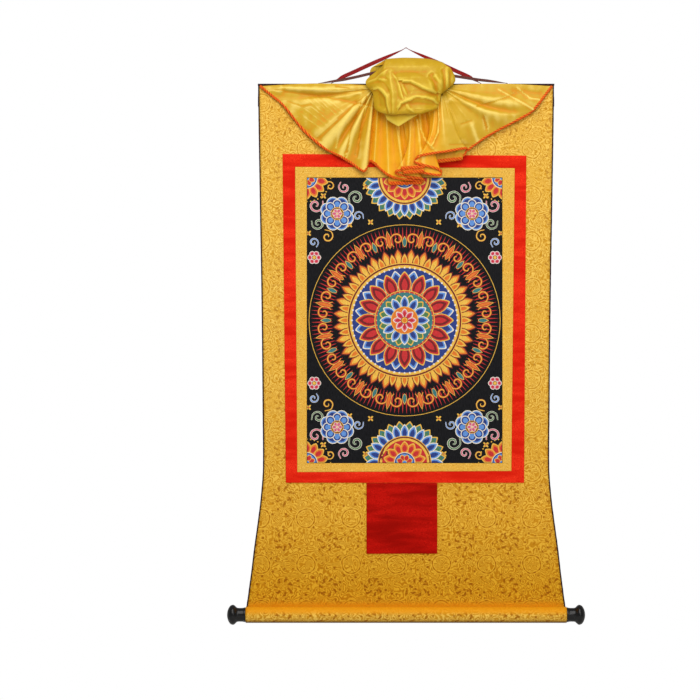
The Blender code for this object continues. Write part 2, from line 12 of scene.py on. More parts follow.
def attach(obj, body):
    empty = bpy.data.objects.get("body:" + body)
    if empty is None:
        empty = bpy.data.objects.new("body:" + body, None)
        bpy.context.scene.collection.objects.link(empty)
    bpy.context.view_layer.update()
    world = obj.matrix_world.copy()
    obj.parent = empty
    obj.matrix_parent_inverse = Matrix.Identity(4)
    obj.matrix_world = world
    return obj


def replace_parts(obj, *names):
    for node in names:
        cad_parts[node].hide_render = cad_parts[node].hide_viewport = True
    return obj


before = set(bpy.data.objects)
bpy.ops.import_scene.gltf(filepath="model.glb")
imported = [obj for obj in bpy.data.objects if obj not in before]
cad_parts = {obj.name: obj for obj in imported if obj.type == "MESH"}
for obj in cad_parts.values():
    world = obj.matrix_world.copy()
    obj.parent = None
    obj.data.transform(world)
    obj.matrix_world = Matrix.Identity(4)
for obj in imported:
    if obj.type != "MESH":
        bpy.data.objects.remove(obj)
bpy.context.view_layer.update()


# ---- The view and the light --------------------------------------------------------------------------
# The scroll hangs square to the camera, four metres off. One large soft lamp stands above it and a
# little to the left, a weaker one to the right, and the floor and the room are pale.

MM = 0.001
LOOKED_AT = Vector((-0.0857, 0.0, -0.462))
CAMERA_AWAY, VIEW_WIDE = 4.0, 1.071

camera = bpy.data.objects.new("camera", bpy.data.cameras.new("camera"))
camera.location = LOOKED_AT - Vector((0, CAMERA_AWAY, 0))
camera.rotation_euler = (math.radians(90), 0, 0)
camera.data.lens = camera.data.sensor_width * CAMERA_AWAY / VIEW_WIDE
bpy.context.scene.collection.objects.link(camera)
bpy.context.scene.camera = camera
bpy.context.scene.view_settings.view_transform = "Standard"


def soft_lamp(name, place, size, power, colour):
    """A square lamp that shines at the middle of the scroll."""
    lamp = bpy.data.objects.new(name, bpy.data.lights.new(name, "AREA"))
    lamp.location = place
    lamp.rotation_euler = (LOOKED_AT - Vector(place)).to_track_quat("-Z", "Y").to_euler()
    lamp.data.size, lamp.data.energy, lamp.data.color = size, power, colour
    bpy.context.scene.collection.objects.link(lamp)


soft_lamp("lamp_above", (-0.20, -1.9, 1.35), 2.5, 63, (1.0, 0.985, 0.96))
soft_lamp("lamp_right", (1.5, -3.3, 0.3), 2.2, 25, (0.97, 0.985, 1.0))


def feed(tree, node, sockets):
    """Sets a node's inputs, each to a number or to the output of another node."""
    for key, value in sockets.items():
        if isinstance(value, bpy.types.NodeSocket):
            tree.links.new(value, node.inputs[key])
        else:
            node.inputs[key].default_value = value
    return node


def add_node(tree, kind, sockets=None, **settings):
    node = tree.nodes.new("ShaderNode" + kind)
    for key, value in settings.items():
        setattr(node, key, value)
    return feed(tree, node, sockets or {})


def pale_room():
    room = bpy.data.worlds.new("pale_room")
    room.use_nodes = True
    tree = room.node_tree
    seen = add_node(tree, "Background", {"Color": (1, 1, 1, 1), "Strength": 1.0})
    lit = tree.nodes["Background"]
    feed(tree, lit, {"Color": (1.0, 0.99, 0.97, 1), "Strength": 0.28})
    path = add_node(tree, "LightPath")
    sockets = {0: path.outputs["Is Camera Ray"], 1: lit.outputs[0], 2: seen.outputs[0]}
    mixed = add_node(tree, "MixShader", sockets)
    tree.links.new(mixed.outputs[0], tree.nodes["World Output"].inputs["Surface"])
    bpy.context.scene.world = room


pale_room()


def new_finish(name):
    """A new material, with its node tree and its shader."""
    made = bpy.data.materials.new(name)
    made.use_nodes = True
    return made, made.node_tree, made.node_tree.nodes["Principled BSDF"]


def new_object(name, shape, finishes):
    """Makes the shape an object with those materials."""
    mesh = bpy.data.meshes.new(name)
    shape.to_mesh(mesh)
    shape.free()
    for finish in finishes:
        mesh.materials.append(finish)
    made = bpy.data.objects.new(name, mesh)
    bpy.context.scene.collection.objects.link(made)
    return made


FLOOR_HALF, FLOOR_MIDDLE = (2.5, 2.0, 1.0), (0, -1.0, -1.25)


def pale_floor():
    boards = bmesh.new()
    bmesh.ops.create_grid(boards, x_segments=1, y_segments=1, size=1.0)
    bmesh.ops.scale(boards, verts=boards.verts[:], vec=FLOOR_HALF)
    bmesh.ops.translate(boards, verts=boards.verts[:], vec=FLOOR_MIDDLE)
    paint, tree, shader = new_finish("floor_paint")
    feed(tree, shader, {"Base Color": (0.8, 0.8, 0.79, 1), "Roughness": 0.8})
    new_object("floor", boards, [paint])


pale_floor()


# ---- The ribbons -------------------------------------------------------------------------------------
# Two flat woven ribbons. The red one is sewn to the batten's cover at both ends and hangs over the nail,
# drawn straight by the scroll's weight. The thinner brown one carries the gathered silk.

SEAM = 0.3 * MM
BATTEN_TOP = -56.5 * MM
SLEEVE_TOP = BATTEN_TOP + 2 * SEAM + 1.2 * MM
RED_WIDE, BROWN_WIDE = 6.0 * MM, 4.2 * MM
RIBBON_THICK, RIBBON_CLOTH, RIBBON_HOLLOW = 1.0 * MM, 0.7 * MM, 0.22 * MM
# How far each end lies flat on the batten's cover.
RED_END, BROWN_END = 26 * MM, 34 * MM
RED_HALF, RED_BACK = 115 * MM, 1.5 * MM
# The red ribbon's way up to the nail, in shares of its half width and of its height.
RED_CLIMB = [(1, 1), (0.75, 0.76), (0.50, 0.505), (0.25, 0.255), (0.08, 0.085), (0.025, 0.022)]
# The brown ribbon's way from left to right, in millimetres: across, back and above its ends.
BROWN_WAY = [
    (-134, -2.0, 0.0),
    (-104, -5.0, 2.5),
    (-77, -11.0, 7.0),
    (-46, -15.0, 13.5),
    (-15, -16.5, 16.0),
    (20, -16.5, 15.5),
    (55, -15.5, 11.5),
    (80, -12.0, 7.5),
    (115, -5.5, 3.0),
    (155, -2.0, 0.0),
]


def smooth_at(values, place):
    """A smooth curve through evenly spaced values, read at a place from 0 to their last index."""
    i = min(int(place), len(values) - 2)
    before, a, b = values[max(i - 1, 0)], values[i], values[i + 1]
    after, share = values[min(i + 2, len(values) - 1)], place - i
    return 0.5 * (
        2 * a
        + (b - before) * share
        + (2 * before - 5 * a + 4 * b - after) * share**2
        + (3 * a - before - 3 * b + after) * share**3
    )


def curve_through(points, steps):
    return [smooth_at(points, i / steps) for i in range((len(points) - 1) * steps + 1)]


def heading(route, i):
    """Which way a route runs at its point i."""
    return (route[min(i + 1, len(route) - 1)] - route[max(i - 1, 0)]).normalized()


def lengths_along(route):
    """How far each point of a route is from its start."""
    lengths = [0.0]
    for a, b in zip(route, route[1:]):
        lengths.append(lengths[-1] + (b - a).length)
    return lengths


def add_grid(cloth, columns, rows, point_at, flat_at):
    """Adds a grid to the cloth. point_at and flat_at place it and its UV map, by (across, down)."""
    verts = set(bmesh.ops.create_grid(cloth, x_segments=columns, y_segments=rows, size=0.5)["verts"])
    flat = cloth.loops.layers.uv.verify()
    for face in {face for vertex in verts for face in vertex.link_faces}:
        for corner in face.loops:
            corner[flat].uv = flat_at(corner.vert.co.x + 0.5, 0.5 - corner.vert.co.y)
    for vertex in verts:
        vertex.co = point_at(vertex.co.x + 0.5, 0.5 - vertex.co.y)


def laid_out(wide, long):
    """A UV map of the flat cloth in metres, its upper edge at 0."""
    return lambda across, down: (across * wide, -down * long)


def cloth_grid(columns, rows, point_at, flat_at):
    cloth = bmesh.new()
    cloth.loops.layers.uv.new("flat_cloth")
    add_grid(cloth, columns, rows, point_at, flat_at)
    return cloth


def face_front(shape):
    """Turns a sheet over if most of it faces the wall."""
    if sum(face.normal.y * face.calc_area() for face in shape.faces) > 0:
        bmesh.ops.reverse_faces(shape, faces=shape.faces[:])


def fitted(made, stands_for=None, thickness=0.0):
    """Makes an object a piece of the scroll, with its thickness if it is a sheet."""
    if thickness:
        solid = made.modifiers.new("thickness", "SOLIDIFY")
        solid.thickness, solid.offset, solid.use_even_offset = thickness, 0.0, False
    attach(made, "root")
    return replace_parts(made, stands_for) if stands_for else made


def put_together(name, shape, finishes, stands_for=None, thickness=0.0):
    """Makes the shape a smooth piece, facing the front if it is a sheet."""
    shape.normal_update()
    bmesh.ops.recalc_face_normals(shape, faces=shape.faces[:])
    shape.normal_update()
    if thickness:
        face_front(shape)
    made = new_object(name, shape, finishes)
    made.data.shade_smooth()
    made.data.set_sharp_from_angle(angle=math.radians(50))
    return fitted(made, stands_for, thickness)


def maths(tree, operation, *values):
    return add_node(tree, "Math", dict(enumerate(values)), operation=operation).outputs[0]


def times(tree, value, *others):
    """The value multiplied by each of the others in turn."""
    for other in others:
        value = maths(tree, "MULTIPLY", value, other)
    return value


def mixed(tree, share, low, high):
    """A number between two, by share."""
    return add_node(tree, "Mix", {0: share, 2: low, 3: high}).outputs[0]


def blended(tree, share, low, high, **way):
    """A colour between two, by share."""
    return add_node(tree, "Mix", {0: share, 6: low, 7: high}, data_type="RGBA", **way).outputs[2]


def between(tree, value, low, high, to_low=0.0, to_high=1.0):
    """Value moved from one range to another and held inside it."""
    sockets = {"Value": value, "From Min": low, "From Max": high, "To Min": to_low, "To Max": to_high}
    return add_node(tree, "MapRange", sockets).outputs[0]

def speckle(tree, place, scale, detail, **more):
    """Soft noise from 0 to 1, by place."""
    sockets = {"Vector": place, "Scale": scale, "Detail": detail, **more}
    return add_node(tree, "TexNoise", sockets).outputs["Fac"]


def parts_of(tree, vector):
    """The X, Y and Z of a vector."""
    return add_node(tree, "SeparateXYZ", {0: vector}).outputs[:]


def flat_place(tree):
    """Where a point is on the flat cloth."""
    return add_node(tree, "UVMap", uv_map="flat_cloth").outputs[0]


def relief(tree, height, strength, distance):
    return add_node(tree, "Bump", {"Height": height, "Strength": strength, "Distance": distance})


def effect(name, inputs, outputs):
    """An empty node group with those named sockets, and its input and output nodes."""
    group = bpy.data.node_groups.new(name, "ShaderNodeTree")
    for label, kind, value in inputs:
        socket = group.interface.new_socket(label, in_out="INPUT", socket_type="NodeSocket" + kind)
        if value is not None:
            socket.default_value = value
    for label, kind in outputs:
        group.interface.new_socket(label, in_out="OUTPUT", socket_type="NodeSocket" + kind)
    return group, group.nodes.new("NodeGroupInput").outputs, group.nodes.new("NodeGroupOutput")


def threads_effect():
    """Warp and weft. Float is 0 for plain weave and 1 for satin, whose warp lies on top."""
    group, given, out = effect(
        "threads",
        [("Cloth", "Vector", None), ("Pitch", "Float", 0.0006), ("Float", "Float", 0.0)],
        [("Height", "Float"), ("Fleck", "Float")],
    )
    turns = add_node(group, "VectorMath", {0: given["Cloth"]}, operation="SCALE")
    feed(group, turns, {"Scale": maths(group, "DIVIDE", 1.0, given["Pitch"])})
    x, y, _ = parts_of(group, turns.outputs[0])
    warp, weft = (
        maths(group, "ABSOLUTE", maths(group, "SINE", times(group, way, math.pi))) for way in (x, y)
    )
    both = maths(group, "ADD", maths(group, "FLOOR", x), maths(group, "FLOOR", y))
    over = maths(group, "MAXIMUM", maths(group, "PINGPONG", both, 1.0), given["Float"])
    fleck = speckle(group, turns.outputs[0], 0.35, 3.0)
    feed(group, out, {"Height": mixed(group, over, weft, warp), "Fleck": fleck})
    return group


THREADS = threads_effect()
Woven = namedtuple("Woven", "made tree shader fleck flat bump")


def woven(name, pitch, floating, high, **sockets):
    """A cloth's material, with its threads as relief."""
    made, tree, shader = new_finish(name)
    flat = flat_place(tree)
    weave = add_node(tree, "Group", node_tree=THREADS)
    feed(tree, weave, {"Cloth": flat, "Pitch": pitch, "Float": floating})
    bump = relief(tree, weave.outputs["Height"], 0.6, high)
    feed(tree, shader, {"Normal": bump.outputs[0], "Specular IOR Level": 0.14, **sockets})
    return Woven(made, tree, shader, weave.outputs["Fleck"], flat, bump)


def flecked_cloth(name, pitch, floating, high, roughness, dark, light):
    """Cloth of one colour, a little uneven from thread to thread."""
    cloth = woven(name, pitch, floating, high, Roughness=roughness)
    flecks = between(cloth.tree, cloth.fleck, 0.35, 0.65)
    feed(cloth.tree, cloth.shader, {"Base Color": blended(cloth.tree, flecks, dark, light)})
    return cloth.made


def turned_back(facing, turn):
    return facing * math.cos(turn) + Vector((0, 1, 0)) * math.sin(turn)


def on_edge(route, twist=lambda place: 0.0):
    """Which way a ribbon that stands on edge is broad at each point, turned back by the twist there."""
    ways = [heading(route, i) for i in range(len(route))]
    upright = [Vector((-along.z, 0, along.x)).normalized() for along in ways]
    return [turned_back(facing, twist(place)) for facing, place in zip(upright, route)]


def laid_flat(route, facings, wide, reach):
    """Turns both ends of a ribbon that stands on edge, so that they lie flat on the batten's cover."""
    for i, place in enumerate(route):
        end = min((place - route[0]).length, (place - route[-1]).length)
        turn = 0.5 * math.pi * max(0.0, 1 - end / reach) ** 0.8
        facings[i] = turned_back(facings[i], turn).normalized()
    low = SLEEVE_TOP + 1.6 * wide
    return [
        place - Vector((0, 0, (wide / 2 - 0.4 * MM) * (1 - abs(facing.z)) * (place.z < low)))
        for place, facing in zip(route, facings)
    ]


def flat_ribbon(name, route, facings, wide, reach, finish, stands_for):
    """A ribbon a little hollow across."""
    route = laid_flat(route, facings, wide, reach)
    lengths = lengths_along(route)

    def point(across, down):
        i = round(down * (len(route) - 1))
        out = heading(route, i).cross(facings[i]).normalized()
        hollow = RIBBON_HOLLOW * math.sin(lengths[i] / (9 * MM)) * (1 - (2 * across - 1) ** 2)
        return route[i] + facings[i] * wide * (across - 0.5) + out * hollow

    shape = cloth_grid(8, len(route) - 1, point, laid_out(wide, lengths[-1]))
    made = put_together(name, shape, [finish], stands_for, RIBBON_CLOTH)


def ribbon_cloth(name, dark, light):
    return flecked_cloth(name, 0.55 * MM, 0.25, 0.12 * MM, 0.55, dark, light)


def hanging_ribbon():
    """It stands on edge, and is twisted to lie flat over the nail."""
    foot = SLEEVE_TOP + RED_WIDE / 2
    left = [Vector((-RED_HALF * across, RED_BACK, foot * up)) for across, up in RED_CLIMB]
    right = [Vector((-place.x, place.y, place.z)) for place in reversed(left)]
    route = curve_through([*left, Vector((0, RED_BACK, RIBBON_THICK / 2)), *right], 10)
    facings = on_edge(route, lambda place: 0.5 * math.pi * max(0.0, 1 - abs(place.x) / (0.45 * RED_HALF)))
    red = ribbon_cloth("red_ribbon", (0.19, 0.004, 0.005, 1), (0.34, 0.008, 0.008, 1))
    flat_ribbon("ribbon_over_nail", route, facings, RED_WIDE, RED_END, red, "hanging_ribbon")


def lower_ribbon():
    foot = SLEEVE_TOP + BROWN_WIDE / 2
    route = curve_through([Vector((x * MM, y * MM, foot + up * MM)) for x, y, up in BROWN_WAY], 10)
    brown = ribbon_cloth("brown_ribbon", (0.075, 0.022, 0.019, 1), (0.16, 0.052, 0.042, 1))
    flat_ribbon("ribbon_under_silk", route, on_edge(route), BROWN_WIDE, BROWN_END, brown, "lower_ribbon")


hanging_ribbon()
lower_ribbon()


# ---- The brocade mount -------------------------------------------------------------------------------
# One length of golden damask, lined, from the batten down to the roller, which it wraps. Round medallions
# stand in rows among curling cloud scrolls, all in the cloth's own colour, bright on a duller ground.

BROCADE_THICK = 1.2 * MM
ROLLER_Z, DOWEL_RADIUS = -866.7 * MM, 10.8 * MM
WRAP_RADIUS = DOWEL_RADIUS + SEAM + BROCADE_THICK / 2
WRAP_TURN, WRAP_WIDEN = math.radians(322), 1.4 * MM
FALL_ROWS, WRAP_ROWS = 270, 40
# How far the woven figures are set off from the middle of the batten's edge.
FIGURES_RIGHT, FIGURES_DOWN = 15 * MM, 3.6 * MM
# The medallions' lattice.
COLUMN_WIDE, ROW_HIGH = 69 * MM, 35.25 * MM

Level = namedtuple("Level", "z y half_width")
# The scroll's section in millimetres: where the middle of the brocade is at each height, and half its
# width there.
LEVELS = [
    Level(*(size * MM for size in level))
    for level in [
        (-56.5, -4.9, 224.0),
        (-200, -4.9, 222.0),
        (-386, -4.9, 218.9),
        (-560, -4.9, 217.2),
        (-646, -5.2, 216.8),
        (-692, -6.6, 220.4),
        (-728, -8.0, 225.0),
        (-765, -6.2, 230.2),
        (-802, -1.0, 234.8),
        (-838, 5.2, 239.8),
        (-866.7, 7.6, 243.6),
    ]
]
ROLLER_Y = LEVELS[-1].y - WRAP_RADIUS

Ripple = namedtuple("Ripple", "length deep phase")
RIPPLES = [Ripple(230 * MM, 1.1 * MM, 0.8), Ripple(131 * MM, 0.6 * MM, 0.0), Ripple(61 * MM, 0.18 * MM, 2.1)]
RIPPLE_TOP, RIPPLE_HIGH = -640 * MM, 205 * MM


def lerp(a, b, share):
    return a + (b - a) * share


def held(value):
    """The value, kept from 0 to 1."""
    return min(1.0, max(0.0, value))


def place_in(keys, value):
    """Where value lies among rising keys, as an index with its share."""
    for i, (low, high) in enumerate(zip(keys, keys[1:])):
        if value <= high:
            return i + max(0.0, (value - low) / (high - low))
    return len(keys) - 1.0


def row_at(table, place):
    """A row of a table, smoothed between its neighbours."""
    return type(table[0])(*(smooth_at(column, place) for column in zip(*table)))


def level_at(z):
    return row_at(LEVELS, place_in([-level.z for level in LEVELS], -z))


def brocade_y(x, z):
    """The slow waves die out at the frame and at the roller."""
    waves = sum(wave.deep * math.sin(2 * math.pi * x / wave.length + wave.phase) for wave in RIPPLES)
    return level_at(z).y + math.sin(math.pi * held((RIPPLE_TOP - z) / RIPPLE_HIGH)) * waves


def fall_and_wrap(down):
    """How far down its fall and how far round the roller the cloth is, each from 0 to 1."""
    row = down * (FALL_ROWS + WRAP_ROWS)
    return min(1.0, row / FALL_ROWS), max(0.0, row - FALL_ROWS) / WRAP_ROWS


def brocade_point(across, down):
    side = 2 * across - 1
    fall, wrap = fall_and_wrap(down)
    if wrap == 0:
        z = lerp(LEVELS[0].z, ROLLER_Z, fall)
        x = side * level_at(z).half_width
        return Vector((x, brocade_y(x, z), z))
    angle = WRAP_TURN * wrap
    x = side * (LEVELS[-1].half_width + WRAP_WIDEN * min(1.0, 4 * wrap))
    return Vector((x, ROLLER_Y + WRAP_RADIUS * math.cos(angle), ROLLER_Z - WRAP_RADIUS * math.sin(angle)))


def brocade_flat(across, down):
    """The same place on the flat cloth, so that its figures lie as they are woven."""
    fall, wrap = fall_and_wrap(down)
    z = lerp(LEVELS[0].z, ROLLER_Z, fall)
    x = (2 * across - 1) * level_at(z).half_width
    return x + FIGURES_RIGHT, z - FIGURES_DOWN - WRAP_RADIUS * WRAP_TURN * wrap


def damask_effect():
    """Medallions in staggered rows, and curling lines like clouds everywhere. Size scales both."""
    group, given, out = effect(
        "damask",
        [("Cloth", "Vector", None), ("Size", "Float", 1.0), ("Medallions", "Float", 1.0)],
        [("Figure", "Float"), ("Dark", "Float"), ("Mottle", "Float")],
    )
    sums, product, spread = partial(maths, group), partial(times, group), partial(between, group)
    scaled = add_node(group, "VectorMath", {0: given["Cloth"]}, operation="SCALE")
    feed(group, scaled, {"Scale": sums("DIVIDE", 1.0, given["Size"])})
    place = scaled.outputs[0]
    x, y, _ = parts_of(group, place)
    # The clouds: lines of equal height on a rolling field, broken by a second field.
    field = speckle(group, place, 58.0, 1.0, Roughness=0.4)
    broken = sums("SUBTRACT", speckle(group, place, 310.0, 2.0), 0.5)
    cloud = sums("SINE", product(field, 2 * math.pi * 14))
    # The medallions: every other row is set off by half, and the main rows hold the greater ones.
    main_row = sums("PINGPONG", sums("FLOOR", sums("DIVIDE", y, ROW_HIGH)), 1.0)
    across = sums("FLOORED_MODULO", sums("MULTIPLY_ADD", main_row, COLUMN_WIDE / 2, x), COLUMN_WIDE)
    across = sums("SUBTRACT", across, COLUMN_WIDE / 2)
    up = sums("SUBTRACT", sums("FLOORED_MODULO", y, ROW_HIGH), ROW_HIGH / 2)
    reach = sums("SQRT", sums("ADD", sums("POWER", across, 2.0), sums("POWER", up, 2.0)))
    bent = sums("MULTIPLY_ADD", sums("SUBTRACT", field, 0.5), 0.004, reach)
    turn = sums("ARCTAN2", up, across)
    inner = sums("MULTIPLY_ADD", turn, 6.0, product(field, 2 * math.pi * 15))
    inner = sums("SINE", sums("MULTIPLY_ADD", bent, 1100.0, inner))
    rim = sums("COSINE", product(sums("SUBTRACT", bent, 0.0155), 2 * math.pi / 0.0034))
    flower = mixed(group, spread(bent, 0.0112, 0.0119), inner, rim)
    within = product(spread(bent, 0.0163, 0.0169, 1.0, 0.0), given["Medallions"])
    pattern = mixed(group, product(within, spread(main_row, 0.0, 1.0, 0.35, 1.0)), cloud, flower)
    pattern = sums("MULTIPLY_ADD", broken, 4.2, pattern)
    # Dark curls ring the lesser medallions, and small dark dots lie about between the lines.
    curls = spread(sums("COSINE", sums("MULTIPLY_ADD", turn, 7.0, product(bent, 300.0))), 0.25, 0.85)
    band = product(spread(bent, 0.0075, 0.0095), spread(bent, 0.0140, 0.0155, 1.0, 0.0))
    curls = product(curls, band, given["Medallions"], sums("SUBTRACT", 1.0, main_row))
    sockets = {"Vector": place, "Scale": 92.0, "Randomness": 0.85}
    dots = add_node(group, "TexVoronoi", sockets, voronoi_dimensions="2D").outputs["Distance"]
    together = spread(speckle(group, place, 75.0, 1.0), 0.42, 0.56, 0.15, 1.0)
    off_main = spread(product(within, main_row), 0.0, 1.0, 1.0, 0.2)
    dots = product(spread(dots, 0.11, 0.22, 0.9, 0.0), together, off_main)
    ring = spread(sums("ABSOLUTE", sums("SUBTRACT", bent, 0.0140)), 0.0003, 0.0015, 0.75, 0.0)
    dashes = spread(sums("SINE", product(turn, 9.0)), -0.2, 0.5)
    ring = product(ring, main_row, given["Medallions"], dashes)
    dark = sums("MAXIMUM", sums("MAXIMUM", dots, curls), ring)
    dark = product(dark, spread(broken, -0.16, 0.02, 0.1, 1.0))
    mottle = speckle(group, place, 30.0, 4.0, Roughness=0.6)
    feed(group, out, {"Figure": spread(pattern, -1.0, 1.1), "Dark": dark, "Mottle": mottle})
    return group


DAMASK = damask_effect()


def damask_on(cloth, size, medallions):
    """The damask's figures, dark lines and mottling on a cloth."""
    design = add_node(cloth.tree, "Group", node_tree=DAMASK)
    feed(cloth.tree, design, {"Cloth": cloth.flat, "Size": size, "Medallions": medallions})
    return design.outputs[:]


def object_place(tree):
    """Where a point is on the scroll."""
    return add_node(tree, "TexCoord").outputs["Object"]


def golden_damask(name, size, medallions, ground, figure, shade, with_painted_fall_light=False):
    """The mount's cloth and the inner border's: tonal figures. The mount's also gets painted light and shade
    as it falls to the roller.
    """
    cloth = woven(name, 0.45 * MM, 0.6, 0.05 * MM)
    tree = cloth.tree
    spread, blend, product = partial(between, tree), partial(blended, tree), partial(times, tree)
    drawn, dark, mottle = damask_on(cloth, size, medallions)
    dark = product(dark, 0.75)
    if with_painted_fall_light:
        high = parts_of(tree, object_place(tree))[2]
        # Where the cloth slopes forward to the roller, its figures are painted with more contrast, standing
        # in for the light that rakes it there.
        painted_raking_contrast = spread(high, -0.60, -0.72, 1.0, 1.9)
        drawn = maths(tree, "MULTIPLY_ADD", maths(tree, "SUBTRACT", drawn, 0.5), painted_raking_contrast, 0.5)
        drawn, dark = spread(drawn, 0.0, 1.0), product(dark, painted_raking_contrast)
    colour = blend(drawn, ground, figure)
    colour = blend(product(spread(mottle, 0.35, 0.68), 0.4), colour, shade)
    colour = blend(dark, colour, (0.40, 0.150, 0.006, 1))
    if with_painted_fall_light:
        # Painted shade deepens it as it falls, with less of it on the roller's front, which leaves a painted
        # highlight there. A warm painted glow lies where it bends on to the roller, and painted shade under
        # the roller.
        painted_falloff_shade = product(spread(high, -0.50, -0.83), spread(high, -0.857, -0.866, 1.0, 0.25))
        colour = blend(painted_falloff_shade, colour, (0.84, 0.70, 0.17, 1), blend_type="MULTIPLY")
        painted_bend_glow = product(spread(high, -0.846, -0.853), spread(high, -0.866, -0.861), 0.8)
        colour = blend(painted_bend_glow, colour, (0.80, 0.31, 0.006, 1))
        colour = blend(spread(high, -0.8735, -0.8775, 0.0, 0.85), colour, (0.10, 0.035, 0.006, 1))
    feed(tree, cloth.bump, {"Normal": relief(tree, drawn, 0.7, 0.16 * MM).outputs[0]})
    feed(tree, cloth.shader, {"Base Color": colour, "Roughness": spread(drawn, 0, 1, 0.62, 0.42)})
    feed(tree, cloth.shader, {"Specular Tint": (1.0, 0.80, 0.45, 1)})
    return cloth.made


def brocade_mount():
    ground, figure, shade = (0.56, 0.255, 0.012, 1), (0.90, 0.575, 0.110, 1), (0.78, 0.42, 0.040, 1)
    gold = golden_damask("mount_damask", 1.0, 1.0, ground, figure, shade, with_painted_fall_light=True)
    shape = cloth_grid(120, FALL_ROWS + WRAP_ROWS, brocade_point, brocade_flat)
    mount = put_together("brocade_mount", shape, [gold], "brocade", BROCADE_THICK)


brocade_mount()


# ---- The side bindings -------------------------------------------------------------------------------
# Dark cotton tape folded over each long edge of the brocade and stitched through. It shows as a thin
# line from the front.

TAPE_FOOT, TAPE_SHOWN, TAPE_THICK = -860 * MM, 2.0 * MM, 1.4 * MM
DARK_COTTON = flecked_cloth(
    "dark_cotton", 0.5 * MM, 0.0, 0.08 * MM, 0.85, (0.014, 0.004, 0.005, 1), (0.040, 0.012, 0.014, 1)
)


def side_binding(name, side, stands_for):
    long = 0.805

    def point(across, down):
        z = lerp(LEVELS[0].z, TAPE_FOOT, down)
        half_width = level_at(z).half_width
        x = side * (half_width + 0.05 * MM + TAPE_SHOWN * across)
        pucker = 0.12 * MM * math.sin(down * long / (3.1 * MM)) * math.sin(math.pi * across)
        return Vector((x, brocade_y(side * half_width, z) + pucker, z))

    shape = cloth_grid(4, 420, point, laid_out(TAPE_SHOWN, long))
    tape = put_together(name, shape, [DARK_COTTON], stands_for, TAPE_THICK)


side_binding("left_binding", -1, "binding_left")
side_binding("right_binding", 1, "binding_right")


# ---- The roller and its knobs ------------------------------------------------------------------------
# A round softwood rod, covered by the brocade that is glued round it. A turned knob of black-lacquered
# wood stands on each end: a collar, a short neck and a domed head.

def stretched_place(tree, place, *ways):
    return add_node(tree, "VectorMath", {0: place, 1: ways}, operation="MULTIPLY").outputs[0]


def plain_wood(name, dark, light, rings):
    """Softwood with its grain along X."""
    made, tree, shader = new_finish(name)
    drawn = stretched_place(tree, object_place(tree), 0.06, 1.0, 1.0)
    grain = between(tree, speckle(tree, drawn, rings, 5.0, Distortion=0.6), 0.35, 0.65)
    pores = relief(tree, speckle(tree, drawn, rings * 6, 3.0), 0.5, 0.1 * MM)
    colour = blended(tree, grain, dark, light)
    feed(tree, shader, {"Base Color": colour, "Roughness": 0.62, "Normal": pores.outputs[0]})
    return made


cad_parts["roller"].material_slots[0].material = plain_wood(
    "roller_softwood", (0.30, 0.17, 0.07, 1), (0.50, 0.32, 0.16, 1), 400.0
)

KnobRing = namedtuple("KnobRing", "out radius")
# The turned knob in millimetres, from the cloth outwards.
KNOB = [
    KnobRing(out * MM, radius * MM)
    for out, radius in [
        (0.0, 10.6),
        (0.3, 11.1),
        (2.2, 11.1),
        (2.6, 10.8),
        (5.0, 10.5),
        (9.0, 10.4),
        (12.2, 10.6),
        (14.0, 11.6),
        (15.8, 13.4),
        (17.6, 14.8),
        (19.2, 15.2),
        (21.2, 14.9),
        (23.8, 13.3),
        (26.2, 9.6),
        (27.8, 4.8),
        (28.3, 0.0),
    ]
]
KNOB_STEPS = 72


def black_lacquer():
    made, tree, shader = new_finish("black_lacquer")
    place = object_place(tree)
    wear = speckle(tree, place, 160.0, 6.0, Roughness=0.7)
    waves = relief(tree, speckle(tree, place, 60.0, 2.0), 0.35, 0.2 * MM)
    worn = between(tree, wear, 0.45, 0.75)
    sockets = {
        "Base Color": blended(tree, worn, (0.0035, 0.0035, 0.004, 1), (0.010, 0.009, 0.008, 1)),
        "Roughness": between(tree, wear, 0.3, 0.7, 0.14, 0.34),
        "Normal": waves.outputs[0],
        "Specular IOR Level": 0.25,
        "Coat Weight": 0.15,
        "Coat Roughness": 0.2,
    }
    feed(tree, shader, sockets)
    return made


LACQUER = black_lacquer()


def knob(name, side, stands_for):
    turned = bmesh.new()
    start = LEVELS[-1].half_width + WRAP_WIDEN + SEAM
    finer = [row_at(KNOB, i / 3) for i in range(3 * (len(KNOB) - 1) + 1)]
    profile = [turned.verts.new((side * start, ROLLER_Y, ROLLER_Z))]
    for ring in finer:
        place = (side * (start + ring.out), ROLLER_Y, ROLLER_Z + max(0.0, ring.radius))
        profile.append(turned.verts.new(place))
    edges = [turned.edges.new(pair) for pair in zip(profile, profile[1:])]
    bmesh.ops.spin(
        turned,
        geom=profile + edges,
        cent=(0, ROLLER_Y, ROLLER_Z),
        axis=(1, 0, 0),
        angle=2 * math.pi,
        steps=KNOB_STEPS,
        use_merge=True,
    )
    bmesh.ops.remove_doubles(turned, verts=turned.verts[:], dist=0.005 * MM)
    put_together(name, turned, [LACQUER], stands_for)


knob("left_knob", -1, "knob_left")
knob("right_knob", 1, "knob_right")


# ---- The batten and its cover ------------------------------------------------------------------------
# A half-round strip of wood behind the top of the brocade. Dark cotton is folded over it: a narrow lip
# shows in front, and the rest lies down the back to the brocade.

BATTEN_DEEP, COVER_THICK = 8.0 * MM, 1.0 * MM
COVER_LONG, COVER_SLACK = 54 * MM, 0.35 * MM

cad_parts["batten"].material_slots[0].material = plain_wood(
    "batten_softwood", (0.24, 0.13, 0.055, 1), (0.42, 0.26, 0.13, 1), 500.0
)


